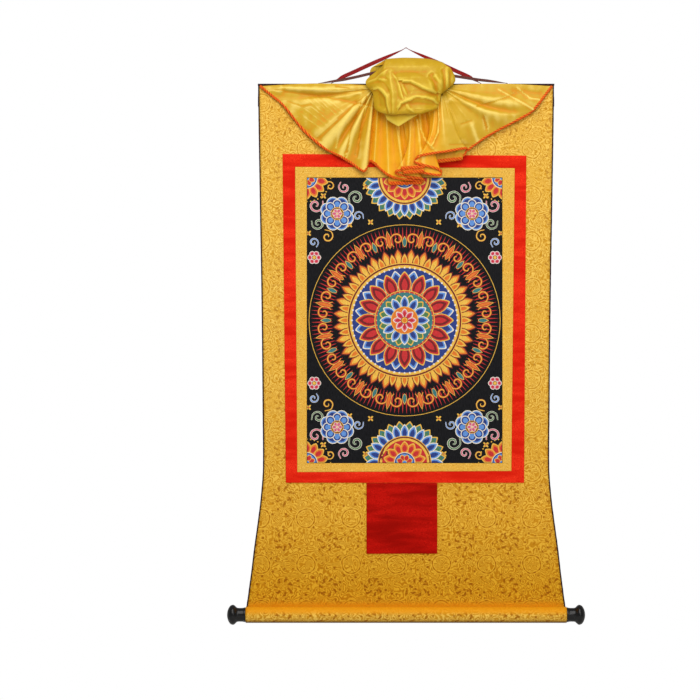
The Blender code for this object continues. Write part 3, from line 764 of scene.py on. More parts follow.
def batten_cover():
    front = LEVELS[0].y - BROCADE_THICK / 2 - SEAM - COVER_THICK / 2
    wood_front = LEVELS[0].y + BROCADE_THICK / 2 + SEAM
    back = wood_front + BATTEN_DEEP + SEAM + COVER_THICK / 2
    top = BATTEN_TOP + SEAM + COVER_THICK / 2
    under = wood_front + COVER_THICK / 2
    # From the lip in front over the top and down the back: from which line, how far off it, and how high.
    turns = [
        (front, 0.0, -2.4),
        (front, 0.0, -0.9),
        (front, 0.4, -0.1),
        (front, 1.4, 0.2),
        (back, -3.0, 0.2),
        (back, -0.6, -0.9),
        (back, 0.0, -4.0),
        (back, 0.0, -11.0),
        (back, -2.6, -16.5),
        (under, 1.4, -20.5),
        (under, 0.0, -24.5),
        (under, 0.0, -34.0),
    ]
    section = [Vector((line + off * MM, top + up * MM)) for line, off, up in turns]
    half = LEVELS[0].half_width + SEAM + 2.2 * MM

    def point(across, down):
        y, z = smooth_at(section, down * (len(section) - 1))
        x = lerp(-half, half, across)
        behind = held((down - 0.55) / 0.25)
        slack = behind * math.sin(x / (17 * MM) + 1.7 * math.sin(x / (61 * MM)))
        return Vector((x, y + COVER_SLACK * (slack + behind), z))

    shape = cloth_grid(220, 4 * (len(section) - 1), point, laid_out(2 * half, COVER_LONG))
    cover = put_together("batten_cover", shape, [DARK_COTTON], "batten_sleeve", 0.9 * MM)


batten_cover()


# ---- The red and the gold border ---------------------------------------------------------------------
# Two frames of cloth strips sewn round the picture, mitred at the corners: bright red brocade outside,
# golden damask with smaller figures inside. Each strip's edges are turned under along the seams.

SILK_GAP, BORDER_THICK = 0.5 * MM, 1.0 * MM
# The corners in millimetres, from the lower left round. The strips were sewn on a little askew, so that
# the red frame is wider at its head than at its foot; only the picture's opening is square.
RED_CORNERS = [(-183.8, -664.8), (180.3, -664.8), (183.8, -165.0), (-188.8, -162.4)]
GOLD_CORNERS = [(-166.2, -648.5), (160.8, -646.9), (165.9, -184.1), (-169.6, -182.2)]
OPENING_CORNERS = [(-151.7, -634.8), (147.1, -634.8), (147.1, -198.6), (-151.7, -198.6)]


def on_brocade(x, z, lift):
    """A place on the face of what is sewn to the brocade, lifted off it towards the front."""
    return Vector((x, brocade_y(x, z) - BROCADE_THICK / 2 - SILK_GAP - BORDER_THICK / 2 - lift, z))


def lay_out_flat(shape):
    """Gives a piece that hangs flat a UV map of where it hangs."""
    flat = shape.loops.layers.uv["flat_cloth"]
    for face in shape.faces:
        for corner in face.loops:
            corner[flat].uv = (corner.vert.co.x, corner.vert.co.z)


def middle_y(shape):
    return sum(vertex.co.y for vertex in shape.verts) / len(shape.verts)


def sewn_flat(name, corners, columns, rows, finish, stands_for, edge=1.2 * MM, puff=0.3 * MM):
    """A flat piece whose long edges turn down to the brocade. Its corners go from the lower left round."""
    left_foot, right_foot, right_head, left_head = corners
    xs, zs = [c.x for c in corners], [c.y for c in corners]
    wide, high = max(xs) - min(xs), max(zs) - min(zs)
    turned_sides, turned_ends = wide < 4 * high, high < 4 * wide

    def point(across, down):
        place = left_foot.lerp(right_foot, across).lerp(left_head.lerp(right_head, across), 1 - down)
        off_side = min(across, 1 - across) * wide if turned_sides else edge
        off_end = min(down, 1 - down) * high if turned_ends else edge
        turned = min(1.0, off_side / edge, off_end / edge)
        return on_brocade(place.x, place.y, puff * (math.sin(turned * math.pi / 2) - 0.6))

    shape = cloth_grid(columns, rows, point, laid_out(1.0, 1.0))
    shape.normal_update()
    face_front(shape)
    front = middle_y(shape)
    bmesh.ops.solidify(shape, geom=shape.faces[:], thickness=BORDER_THICK - 0.2 * MM)
    bmesh.ops.translate(shape, verts=shape.verts[:], vec=(0, front - middle_y(shape), 0))
    lay_out_flat(shape)
    return put_together(name, shape, [finish], stands_for)


def inside(corners, gap):
    """The corners moved inwards, or outwards by a gap below 0."""
    return [corner + Vector(way) * gap for corner, way in zip(corners, ((1, 1), (-1, 1), (-1, -1), (1, -1)))]


def border(colour, outer, inner, finish):
    (a, b, c, d), (e, f, g, h) = inside(outer, SEAM / 2), inside(inner, -SEAM / 2)
    in_x, up = Vector((0.01 * MM, 0)), Vector((0, 0.01 * MM))
    strips = {
        "bottom": ([a + in_x, b - in_x, f, e], 180, 12),
        "top": ([h, g, c - in_x, d + in_x], 180, 12),
        "left": ([a + up, e + up, h - up, d - up], 12, 240),
        "right": ([f + up, b + up, c - up, g - up], 12, 240),
    }
    for side, (corners, columns, rows) in strips.items():
        stands_for = f"{colour}_border_{side}"
        made = sewn_flat(f"{colour}_strip_{side}", corners, columns, rows, finish, stands_for)


def red_silk(name, ground, figure, shade):
    """Fine red brocade: tiny tonal figures, a faint cross rib and soft watered bands."""
    cloth = woven(name, 0.4 * MM, 0.5, 0.05 * MM)
    tree = cloth.tree
    drawn, dark, _ = damask_on(cloth, 0.42, 0.0)
    bands = speckle(tree, stretched_place(tree, cloth.flat, 14.0, 70.0, 1.0), 1.0, 3.0, Distortion=0.4)
    watered = between(tree, bands, 0.38, 0.62, 0.0, 0.85)
    colour = blended(tree, maths(tree, "MAXIMUM", watered, dark), blended(tree, drawn, ground, figure), shade)
    feed(tree, cloth.shader, {"Base Color": colour, "Roughness": 0.55})
    feed(tree, cloth.shader, {"Specular IOR Level": 0.08, "Specular Tint": (1.0, 0.5, 0.3, 1)})
    return cloth.made


def picture_borders():
    frames = (RED_CORNERS, GOLD_CORNERS, OPENING_CORNERS)
    outer, middle, opening = ([Vector(corner) * MM for corner in corners] for corners in frames)
    red = red_silk("border_red", (0.63, 0.009, 0.003, 1), (0.96, 0.044, 0.013, 1), (0.62, 0.008, 0.002, 1))
    ground, figure, shade = (0.62, 0.30, 0.022, 1), (0.90, 0.58, 0.120, 1), (0.84, 0.41, 0.035, 1)
    gold = golden_damask("border_damask", 0.4, 0.0, ground, figure, shade)
    border("red", outer, middle, red)
    border("gold", middle, opening, gold)
    return opening


OPENING = picture_borders()


# ---- The door patch ----------------------------------------------------------------------------------
# The scroll's door: a square of deep red brocade below the picture, cut from the same kind of cloth as
# the outer border. It is sewn flat to the mount, with its head against the red border's foot.

DOOR_CENTRE_X, DOOR_HALF, DOOR_HIGH = -6.5 * MM, 54 * MM, 108 * MM
DOOR_HEAD = RED_CORNERS[0][1] * MM - SEAM


def door_patch():
    left, right, foot = DOOR_CENTRE_X - DOOR_HALF, DOOR_CENTRE_X + DOOR_HALF, DOOR_HEAD - DOOR_HIGH
    places = [(left, foot), (right, foot), (right, DOOR_HEAD), (left, DOOR_HEAD)]
    corners = [Vector(place) for place in places]
    ground, figure, shade = (0.38, 0.002, 0.001, 1), (0.60, 0.007, 0.004, 1), (0.27, 0.001, 0.0005, 1)
    deep_red = red_silk("door_red", ground, figure, shade)
    patch = sewn_flat("door", corners, 60, 60, deep_red, "door_patch")


door_patch()


# ---- The picture -------------------------------------------------------------------------------------
# A woven picture on a near-black ground, sewn into the borders: a great lotus rosette among scrolls, half
# rosettes above and below it and blossoms in the corners. Each colour's silk floats on the ground.

def picture_silk(name, dark, light, shine=0.25):
    """Silk floats of one colour, uneven along their strands."""
    cloth = woven(name, 0.5 * MM, 0.5, 0.07 * MM, Roughness=0.5)
    tree = cloth.tree
    strands = speckle(tree, stretched_place(tree, object_place(tree), 900.0, 1.0, 160.0), 1.0, 3.0)
    feed(tree, cloth.shader, {"Base Color": blended(tree, between(tree, strands, 0.3, 0.7), dark, light)})
    feed(tree, cloth.shader, {"Specular IOR Level": shine})
    return cloth.made


# Each colour's darker and lighter strands.
SILK_COLOURS = {
    "gold": [(0.66, 0.34, 0.030, 1), (0.88, 0.55, 0.085, 1)],
    "orange": [(0.60, 0.125, 0.010, 1), (0.80, 0.22, 0.020, 1)],
    "crimson": [(0.42, 0.012, 0.014, 1), (0.62, 0.028, 0.030, 1)],
    "maroon": [(0.11, 0.005, 0.006, 1), (0.19, 0.009, 0.010, 1)],
    "navy": [(0.010, 0.024, 0.150, 1), (0.022, 0.050, 0.260, 1)],
    "sky": [(0.07, 0.20, 0.52, 1), (0.14, 0.32, 0.72, 1)],
    "teal": [(0.022, 0.12, 0.13, 1), (0.050, 0.22, 0.22, 1)],
    "leaf": [(0.045, 0.13, 0.045, 1), (0.10, 0.24, 0.09, 1)],
    "pink": [(0.50, 0.060, 0.13, 1), (0.72, 0.15, 0.25, 1)],
    "cream": [(0.66, 0.60, 0.50, 1), (0.84, 0.80, 0.70, 1)],
    "ground": [(0.003, 0.003, 0.004, 1), (0.011, 0.011, 0.013, 1), 0.08],
}
SILKS = {colour: picture_silk(f"{colour}_silk", *finish) for colour, finish in SILK_COLOURS.items()}
SILK_ORDER = list(SILKS)
LAYER, FLOAT_THICK, FLOAT_LIFT = 0.01 * MM, 0.016 * MM, 0.46 * MM
HALF_ROSETTE_UP = 217.5
# Where the small things lie in the upper right corner, in millimetres from the middle of the picture.
BLOSSOM_AT, CORNER_AT, SMALL_BLOSSOM_AT = (103, 163), (149, HALF_ROSETTE_UP), (138, 96)
STARS_AT = [(52, 150), (84, 146), (60, 204), (141, 205), (147, 133), (124, 190)]
Spray = namedtuple("Spray", "x y radius start turns hand colours wide")
SPRAYS = [
    Spray(136, 176, 13.0, 2.6, 1.3, 1, ["cream", "pink"], 3.4),
    Spray(132, 148, 11.0, 0.4, 1.4, -1, ["cream", "leaf"], 3.2),
    Spray(74, 187, 13.0, 5.6, 1.4, 1, ["cream", "leaf"], 3.6),
    Spray(92, 203, 10.0, 1.0, 1.3, -1, ["cream", "pink"], 3.2),
    Spray(118, 128, 11.0, 1.2, 1.4, 1, ["maroon", "gold"], 3.2),
    Spray(139, 119, 8.5, 4.2, 1.3, -1, ["cream", "sky"], 2.8),
    Spray(71, 159, 9.0, 3.6, 1.3, -1, ["cream", "sky"], 2.8),
    Spray(114, 205, 8.5, 0.2, 1.3, 1, ["maroon", "gold"], 2.8),
]

Petals = namedtuple("Petals", "count near far wide point first colours")
Disc = namedtuple("Disc", "radius rim colours")
Beads = namedtuple("Beads", "count radius size colours")
# The great rosette, from its back to its front, in millimetres. Colours go from the outline inwards.
GREAT_ROSETTE = [
    Petals(32, 84, 111, 13.5, 0.85, 0.5, ["maroon", "orange", "gold"]),
    Petals(32, 80, 104, 12.0, 0.7, 0.0, ["maroon", "gold", "orange"]),
    Disc(88, 1.4, ["gold", "maroon", "gold", "navy"]),
    Beads(64, 80.5, 1.5, ["cream"]),
    Petals(16, 50, 77, 17.0, 0.6, 0.5, ["cream", "sky", "navy"]),
    Petals(16, 38, 75, 21.0, 0.6, 0.0, ["gold", "crimson", "maroon", "crimson"]),
    Disc(46, 1.2, ["gold", "crimson", "teal"]),
    Beads(36, 43.0, 1.0, ["gold"]),
    Petals(12, 20, 40, 13.5, 0.5, 0.5, ["gold", "leaf"]),
    Petals(12, 16, 38, 13.0, 0.5, 0.0, ["cream", "sky", "navy"]),
    Disc(21, 1.0, ["gold", "orange"]),
    Petals(8, 3, 18, 9.5, 0.4, 0.0, ["cream", "pink", "crimson"]),
    Disc(5.5, 0.9, ["maroon", "gold", "orange"]),
]
HALF_ROSETTE = [
    Petals(24, 40, 64, 15.0, 0.7, 0.5, ["gold", "teal", "leaf"]),
    Petals(24, 36, 59, 13.0, 0.6, 0.0, ["cream", "sky", "navy"]),
    Disc(41, 1.2, ["gold", "maroon", "gold", "crimson"]),
    Beads(40, 36.0, 1.1, ["gold"]),
    Petals(14, 14, 33, 13.0, 0.5, 0.5, ["gold", "orange", "crimson"]),
    Disc(16, 1.0, ["cream", "navy", "sky"]),
    Petals(8, 3, 13, 8.0, 0.4, 0.5, ["gold", "crimson"]),
]
BLOSSOM = [
    Petals(8, 10, 27, 19.0, 0.0, 0.5, ["cream", "sky", "navy"]),
    Petals(8, 7, 22, 14.0, 0.0, 0.0, ["cream", "navy", "sky"]),
    Disc(10, 0.9, ["gold", "maroon", "gold"]),
    Petals(6, 1, 8, 5.5, 0.0, 0.0, ["cream", "pink"]),
]
SMALL_BLOSSOM = [
    Petals(6, 3, 10.5, 8.5, 0.0, 0.0, ["cream", "pink", "crimson"]),
    Disc(3.2, 0.7, ["maroon", "gold"]),
]
STAR = [Petals(4, 0.6, 5.2, 2.8, 0.4, 0.5, ["gold"]), Disc(1.1, 0.4, ["crimson"])]
# Fine rays behind the ring of curls, and a thin line round them.
RAYS = [
    Disc(146.5, 0.9, ["gold", "ground"]),
    Petals(144, 110, 143, 1.7, 0.6, 0.5, ["crimson"]),
]
RAYS_LAYERS = 6
RING_PAIRS, RING_RADIUS, RING_APART = 16, 124, 0.105
BUD = Petals(1, 112, 139, 8.0, 0.8, 0.0, ["gold", "crimson", "orange"])
SIDE_BUD = Petals(1, 112, 129, 7.0, 0.8, 0.0, ["gold", "teal"])


def spoke(turn):
    return Vector((math.cos(turn), math.sin(turn)))


def at_layer(place, layer):
    """A place of the picture's plane, so many layers before it."""
    return Vector((place.x, -layer, place.y))


def round_motif(design, middle, radius, colours, rim, layer, segments):
    """A disc of each colour, from the outline inwards, each a rim smaller and a layer higher."""
    for colour in colours:
        around = bmesh.ops.create_circle(design, cap_ends=True, segments=segments, radius=radius)["verts"]
        bmesh.ops.rotate(design, verts=around, cent=(0, 0, 0), matrix=Matrix.Rotation(math.pi / 2, 3, "X"))
        bmesh.ops.translate(design, verts=around, vec=at_layer(middle, layer))
        around[0].link_faces[0].material_index = SILK_ORDER.index(colour)
        radius, rim, layer = radius - rim, rim * 1.7, layer + LAYER


def petal(design, middle, turn, ring, layer):
    """A petal of each colour, from the outline inwards."""
    near, far, wide = ring.near, ring.far, ring.wide
    rim = min(1.25, ring.wide / 9.5)
    for colour in ring.colours:
        around = bmesh.ops.create_circle(design, cap_ends=True, segments=16, radius=1.0)["verts"]
        for vertex in around:
            out = lerp(near, far, (vertex.co.x + 1) / 2) * MM
            pinch = 1 - ring.point * max(0.0, vertex.co.x) ** 2
            side = 0.5 * wide * MM * vertex.co.y * pinch
            vertex.co = at_layer(middle + Matrix.Rotation(turn, 2) @ Vector((out, side)), layer)
        around[0].link_faces[0].material_index = SILK_ORDER.index(colour)
        near, far, wide = near + rim, far - rim * (1.1 + 1.2 * ring.point), wide - 2 * rim
        rim, layer = rim * 1.5, layer + LAYER


def rosette(design, middle, rings, layer=0.0):
    for item in rings:
        layer += LAYER
        if isinstance(item, Disc):
            round_motif(design, middle, item.radius * MM, item.colours, item.rim * MM, layer, 64)
            layer += LAYER * len(item.colours)
            continue
        for i in range(item.count):
            if isinstance(item, Beads):
                place = middle + spoke(2 * math.pi * i / item.count) * item.radius * MM
                round_motif(design, place, item.size * MM, item.colours, 0.3 * MM, layer, 8)
            else:
                over = LAYER * len(item.colours) * (i % 2)
                petal(design, middle, 2 * math.pi * (i + item.first) / item.count, item, layer + over)
        layer += 2 * LAYER * len(item.colours)


def stroke(design, line, wide, colour, layer):
    """A brush-like line of silk that tapers to both ends."""
    curve = curve_through(line, 8)
    last = len(curve) - 1
    made = bmesh.ops.create_grid(design, x_segments=last, y_segments=1, size=0.5)["verts"]
    for vertex in made:
        i = round((vertex.co.x + 0.5) * last)
        along = heading(curve, i)
        half = 0.5 * wide * MM * (0.2 + 0.8 * math.sin(math.pi * min(1.0, 0.12 + 0.8 * i / last)))
        place = curve[i] * MM + Vector((-along.y, along.x)) * half * (2 * vertex.co.y)
        vertex.co = at_layer(place, layer)
    for face in {face for vertex in made for face in vertex.link_faces}:
        face.material_index = SILK_ORDER.index(colour)


def curl(middle, radius, start, turns, hand, steps=9):
    """A spiral's points in millimetres, from its open end in to its eye."""
    points = []
    for i in range(steps + 1):
        turn = start + hand * 2 * math.pi * turns * i / steps
        reach = radius * (1 - 0.86 * (i / steps) ** 0.8)
        points.append(middle + spoke(turn) * reach)
    return points


def scroll(design, middle, radius, start, turns, hand, colours, wide=3.2, under=0):
    """A curl drawn as a broad dark line under a narrow bright one, over that many layers."""
    line = curl(middle, radius, start, turns, hand)
    for colour, share, layer in zip(colours, (1.0, 0.62, 0.22), (1, 2, 3)):
        stroke(design, line, wide * share, colour, (under + layer) * LAYER)


def scroll_ring(design, middle):
    """Sixteen pairs of curls round the great rosette, with a bud between them, on a ground of rays."""
    rosette(design, middle, RAYS)
    for i in range(RING_PAIRS):
        turn = 2 * math.pi * (i + 0.5) / RING_PAIRS
        for hand in (-1, 1):
            at = turn + hand * RING_APART
            place = middle / MM + spoke(at) * RING_RADIUS
            colours, start = ["maroon", "orange", "gold"], at + math.pi + hand * 0.5
            scroll(design, place, 12.5, start, 1.35, hand, colours, 4.2, RAYS_LAYERS)
        petal(design, middle, turn, BUD, (RAYS_LAYERS + 5) * LAYER)
        petal(design, middle, turn + math.pi / RING_PAIRS, SIDE_BUD, (RAYS_LAYERS + 4) * LAYER)


def corner_sprays(design, middle):
    """A blossom with its curls, stars and a quarter rosette in each corner, turned over from the first."""
    for across, up in ((-1, -1), (-1, 1), (1, -1), (1, 1)):

        def out(place):
            return Vector((place[0] * across, place[1] * up))

        rosette(design, middle + out(BLOSSOM_AT) * MM, BLOSSOM, 2 * LAYER)
        rosette(design, middle + out(CORNER_AT) * MM, HALF_ROSETTE[3:])
        for spray in SPRAYS:
            begin = math.atan2(math.sin(spray.start) * up, math.cos(spray.start) * across)
            place, hand = middle / MM + out(spray), spray.hand * across * up
            scroll(design, place, spray.radius, begin, spray.turns, hand, spray.colours, spray.wide)
        rosette(design, middle + out(SMALL_BLOSSOM_AT) * MM, SMALL_BLOSSOM, LAYER)
        for place in STARS_AT:
            rosette(design, middle + out(place) * MM, STAR)


def picture():
    corners = inside(OPENING, SEAM / 2)
    wide, high = corners[1].x - corners[0].x, corners[2].y - corners[1].y
    middle = (corners[0] + corners[2]) / 2
    cloth = sewn_flat(
        "picture_cloth", corners, 60, 90, SILKS["ground"], "picture_panel", 0.8 * MM, 0.0
    )
    design = bmesh.new()
    design.loops.layers.uv.new("flat_cloth")
    scroll_ring(design, middle)
    rosette(design, middle, GREAT_ROSETTE, (RAYS_LAYERS + 5) * LAYER)
    for up in (-1, 1):
        rosette(design, middle + Vector((0, HALF_ROSETTE_UP * up)) * MM, HALF_ROSETTE)
    corner_sprays(design, middle)
    # What runs past the cloth's edge is trimmed off.
    for out in (Vector((1, 0)), Vector((-1, 0)), Vector((0, 1)), Vector((0, -1))):
        edge = middle + out * (wide if out.x else high) / 2 - out * 0.6 * MM
        bmesh.ops.bisect_plane(
            design,
            geom=design.verts[:] + design.edges[:] + design.faces[:],
            plane_co=(edge.x, 0, edge.y),
            plane_no=(out.x, 0, out.y),
            clear_outer=True,
        )
    lay_out_flat(design)
    for vertex in design.verts:
        vertex.co = on_brocade(vertex.co.x, vertex.co.z, FLOAT_LIFT - vertex.co.y)
    design.normal_update()
    bmesh.ops.reverse_faces(design, faces=[face for face in design.faces if face.normal.y > 0])
    floats = new_object("picture_design", design, list(SILKS.values()))
    woven_design = fitted(floats, thickness=FLOAT_THICK)


picture()


# ---- The silk cover ----------------------------------------------------------------------------------
# One length of thin golden satin, sewn along the batten. It is lifted clear of the picture, gathered at
# two places and thrown in a bunch over the brown ribbon; its hem is overlocked with orange-red thread.

SILK_THICK = 0.9 * MM
Fold = namedtuple("Fold", "neck_x neck_z neck_y hem_x hem_z hem_y belly sag tuck")
# The silk's folds from the upper left corner to the upper right one, in millimetres: each runs from the
# gathered neck to the hem. belly is how far its middle stands forward, sag how far it hangs below the
# straight, and tuck how far its foot is turned sideways, which lays the hem in steps.
LEFT_WING = [
    Fold(-57.0, -58.0, -10.5, -224.0, -59.4, -7.6, 1.0, -3.3, 0.0),
    Fold(-56.3, -62.7, -13.8, -219.0, -64.0, -8.8, 6.0, 1.0, 0.0),
    Fold(-55.7, -64.0, -12.6, -204.0, -76.0, -8.4, 1.0, 4.0, 0.0),
    Fold(-55.1, -65.6, -14.0, -187.0, -91.0, -9.8, 3.5, 2.0, 0.0),
    Fold(-54.5, -67.2, -14.8, -158.0, -127.0, -11.5, 4.0, 0.0, 0.0),
    Fold(-53.9, -68.8, -15.8, -129.0, -153.0, -14.5, 7.5, 0.0, 0.0),
    Fold(-53.2, -70.4, -14.0, -113.0, -162.0, -11.0, 1.5, 0.0, 0.0),
    Fold(-52.4, -71.8, -15.6, -101.0, -168.0, -15.5, 6.5, 0.0, 0.0),
    Fold(-51.3, -73.0, -13.8, -84.0, -178.0, -11.2, 1.0, 0.0, 0.0),
    Fold(-50.0, -74.2, -15.8, -64.0, -191.0, -17.5, 5.0, 0.0, 0.0),
]
SKIRT = [
    Fold(-47.5, -75.0, -13.6, -56.0, -175.5, -10.8, 0.0, 0.0, 0.0),
    Fold(-42.5, -75.0, -15.8, -49.0, -178.5, -15.8, 2.0, 0.0, 0.0),
    Fold(-36.5, -75.0, -13.8, -40.0, -187.0, -12.4, 0.6, 0.0, 0.0),
    Fold(-30.5, -75.0, -16.0, -27.0, -197.0, -16.4, 2.0, 0.0, 0.0),
    Fold(-24.5, -75.0, -14.0, -17.0, -201.5, -13.4, 0.6, 0.0, 3.0),
    Fold(-18.5, -75.0, -16.0, -8.0, -203.5, -16.0, 1.5, 0.0, 8.0),
    Fold(-12.5, -75.0, -14.0, -2.0, -205.0, -12.4, 1.5, 0.0, 27.0),
    Fold(-6.5, -75.0, -16.0, 3.0, -202.5, -15.6, 1.5, 0.0, 21.0),
    Fold(-0.5, -75.0, -14.0, 8.0, -198.5, -17.4, 2.0, 0.0, -10.0),
    Fold(5.5, -75.0, -16.2, 12.0, -193.0, -19.6, 2.5, 0.0, -29.0),
    Fold(11.5, -75.0, -14.0, 17.0, -190.0, -22.4, 2.0, 0.0, -22.0),
    Fold(17.5, -75.0, -16.2, 24.0, -193.0, -21.0, 3.0, 0.0, -3.0),
    Fold(23.5, -75.0, -13.5, 44.0, -197.0, -19.5, 0.0, 0.0, 7.0),
    Fold(29.5, -75.0, -15.5, 44.0, -188.0, -21.8, 2.0, 0.0, 4.0),
    Fold(35.5, -75.0, -16.5, 42.0, -178.5, -25.6, 2.0, 0.0, -28.0),
    Fold(41.5, -75.0, -17.5, 46.0, -170.0, -28.6, 2.5, 0.0, -28.0),
    Fold(47.5, -75.0, -14.5, 50.0, -165.0, -28.2, 2.0, 0.0, -13.0),
    Fold(53.5, -74.5, -15.5, 58.0, -161.5, -26.5, 5.0, 0.0, 2.0),
]
RIGHT_WING = [
    Fold(55.8, -73.8, -14.5, 76.0, -157.5, -23.6, 5.6, 0.0, 6.0),
    Fold(56.8, -73.2, -14.5, 83.0, -156.5, -22.0, 5.9, 0.0, 9.0),
    Fold(57.6, -72.6, -14.5, 87.0, -158.5, -18.6, 6.2, 0.0, 6.0),
    Fold(58.2, -72.0, -14.5, 91.0, -168.0, -16.2, 6.5, 0.0, -6.0),
    Fold(58.8, -71.5, -14.5, 94.0, -173.0, -15.0, 6.7, 0.0, -44.0),
    Fold(59.2, -71.1, -14.5, 96.0, -171.0, -12.2, 6.9, 0.0, -45.0),
    Fold(59.6, -70.6, -14.5, 99.0, -163.0, -10.4, 7.0, 0.0, -14.0),
    Fold(60.1, -69.9, -14.7, 104.0, -151.0, -10.4, 7.2, 1.0, 0.0),
    Fold(60.6, -69.2, -15.0, 121.0, -139.0, -11.0, 7.4, 2.0, 0.0),
    Fold(61.2, -68.4, -15.2, 141.0, -127.5, -9.8, 6.6, 3.0, 0.0),
    Fold(61.8, -67.6, -16.5, 165.0, -115.0, -10.5, 7.0, 5.0, 0.0),
    Fold(62.6, -66.4, -13.8, 190.0, -101.0, -8.6, 1.5, 8.0, 0.0),
    Fold(63.9, -64.8, -14.8, 202.0, -88.5, -9.6, 6.0, 5.0, 0.0),
    Fold(66.2, -62.8, -13.2, 213.0, -74.0, -8.4, 2.0, 2.0, 0.0),
    Fold(70.0, -57.6, -10.5, 224.0, -59.4, -7.6, 1.0, -2.8, 0.0),
]
FOLDS = [*LEFT_WING, *SKIRT, *RIGHT_WING]
# How suddenly the pleats open and the folds gain depth on their way to the hem. On the right wing the
# pleat opens only near the hem. The skirt's crests are narrow and its troughs wide, by the last of them.
TUCK_POWER, DEPTH_POWER, CREST_POWER = 3.2, 0.6, 1.7
WING_TUCK_POWER, WING_DEPTH_POWER = 9.0, 1.5
# The nearest to the wall that the silk comes, over the borders and over the brocade above them.
BORDER_HEAD, OVER_BORDER, OVER_BROCADE = -156, -8.2, -7.0

Crease = namedtuple("Crease", "high wide lean line")
# Pressed folds on the wings and the skirt, in millimetres: how high the line stands, or how deep it is
# sunk, how wide its slopes are, and which side slopes gently, 1 for the right as drawn and 0 for both.
FAN_CREASES = [
    Crease(-4.0, 9.0, -1, [(-186, -67), (-168, -69), (-128, -75), (-102, -80), (-76, -86)]),
    Crease(1.6, 3.0, 0, [(-190, -61), (-150, -64), (-110, -68), (-70, -70)]),
    Crease(-1.5, 2.0, 0, [(-106, -60), (-84, -64), (-66, -64)]),
    Crease(-2.4, 3.0, 1, [(-76, -86), (-101, -110), (-119, -129), (-131, -141)]),
    Crease(2.6, 4.0, 0, [(-80, -93), (-99, -122), (-107, -153)]),
    Crease(-2.6, 4.5, 1, [(-70, -88), (-83, -122), (-91, -160)]),
    Crease(-2.4, 1.8, 0, [(-60, -76), (-68, -116), (-75, -166)]),
    Crease(-2.0, 7.0, 0, [(-168, -118), (-150, -128), (-136, -139)]),
    Crease(0.24, 0.9, 0, [(-151, -78), (-128, -99)]),
    Crease(0.20, 0.8, 0, [(-143, -76), (-118, -99)]),
    Crease(0.26, 0.9, 0, [(-135, -78), (-108, -103)]),
    Crease(0.20, 0.8, 0, [(-126, -79), (-101, -101)]),
    Crease(0.22, 0.9, 0, [(-117, -82), (-95, -100)]),
    Crease(0.20, 0.9, 0, [(-152, -96), (-122, -119)]),
    Crease(0.26, 0.9, 0, [(-143, -92), (-114, -116)]),
    Crease(0.22, 1.0, 0, [(-158, -104), (-129, -125)]),
    Crease(-0.5, 1.4, 0, [(-180, -83), (-158, -90), (-146, -87)]),
    Crease(
        2.8, 13.0, -1, [(54, -70), (66, -80), (98, -89), (118, -97), (145, -102), (165, -103), (192, -96)]
    ),
    Crease(-1.2, 3.0, 1, [(108, -91), (151, -78), (168, -70)]),
    Crease(1.0, 1.0, 0, [(141, -65), (194, -95)]),
    Crease(0.9, 1.0, 0, [(170, -62), (189, -78), (203, -80)]),
    Crease(-1.8, 5.0, 0, [(164, -67), (204, -70)]),
    Crease(-2.0, 2.2, 1, [(119, -109), (123, -123)]),
    Crease(2.2, 9.0, 0, [(68, -116), (84, -142)]),
    Crease(1.8, 5.0, 0, [(100, -121), (109, -143)]),
    Crease(-0.7, 1.6, 0, [(84, -118), (99, -113)]),
    Crease(-0.6, 1.6, 0, [(66, -150), (100, -149)]),
    Crease(1.7, 1.8, 0, [(-11, -112), (-11, -135), (-8, -165), (-5, -198)]),
    Crease(1.7, 1.8, 0, [(4, -112), (6, -135), (4, -165), (2, -190)]),
    Crease(1.7, 1.8, 0, [(17, -112), (19, -134), (22, -158), (20, -182)]),
    Crease(-1.2, 3.0, 0, [(-4, -115), (-3, -140), (-2, -192)]),
    Crease(-1.2, 3.0, 0, [(11, -112), (13, -140), (12, -184)]),
    Crease(2.6, 2.2, -1, [(20, -104), (22, -126), (28, -142), (39, -155)]),
    Crease(2.6, 2.0, 1, [(48, -88), (50, -112), (48, -132), (39, -152)]),
    Crease(-2.0, 6.0, 0, [(35, -108), (37, -138)]),
]

LobeStation = namedtuple("LobeStation", "across lip_x lip_z lip_y front_y middle_x top_x top_z")
# The bunch that hangs over the brown ribbon, from left to right, in millimetres: its lip at the foot,
# how far its front stands out, and its width at the middle and at the top.
LOBE = [
    LobeStation(0.00, -49.0, -86.0, -21.5, -21.5, -61.5, -52.0, -28.0),
    LobeStation(0.08, -48.5, -94.5, -28.0, -29.0, -50.0, -43.5, -23.5),
    LobeStation(0.20, -39.5, -101.7, -36.0, -38.5, -35.0, -31.0, -20.0),
    LobeStation(0.38, -21.5, -105.8, -41.0, -43.5, -12.0, -9.0, -18.0),
    LobeStation(0.52, -6.0, -104.8, -42.0, -44.0, 8.0, 8.0, -18.0),
    LobeStation(0.70, 18.5, -104.8, -40.5, -42.5, 33.0, 27.0, -18.8),
    LobeStation(0.82, 30.0, -101.5, -37.5, -39.0, 50.0, 40.0, -20.5),
    LobeStation(0.94, 46.0, -95.0, -28.5, -29.0, 67.0, 55.0, -24.5),
    LobeStation(1.00, 49.5, -84.0, -21.5, -21.5, 74.0, 62.0, -30.0),
]
LOBE_OPENING = 18.0
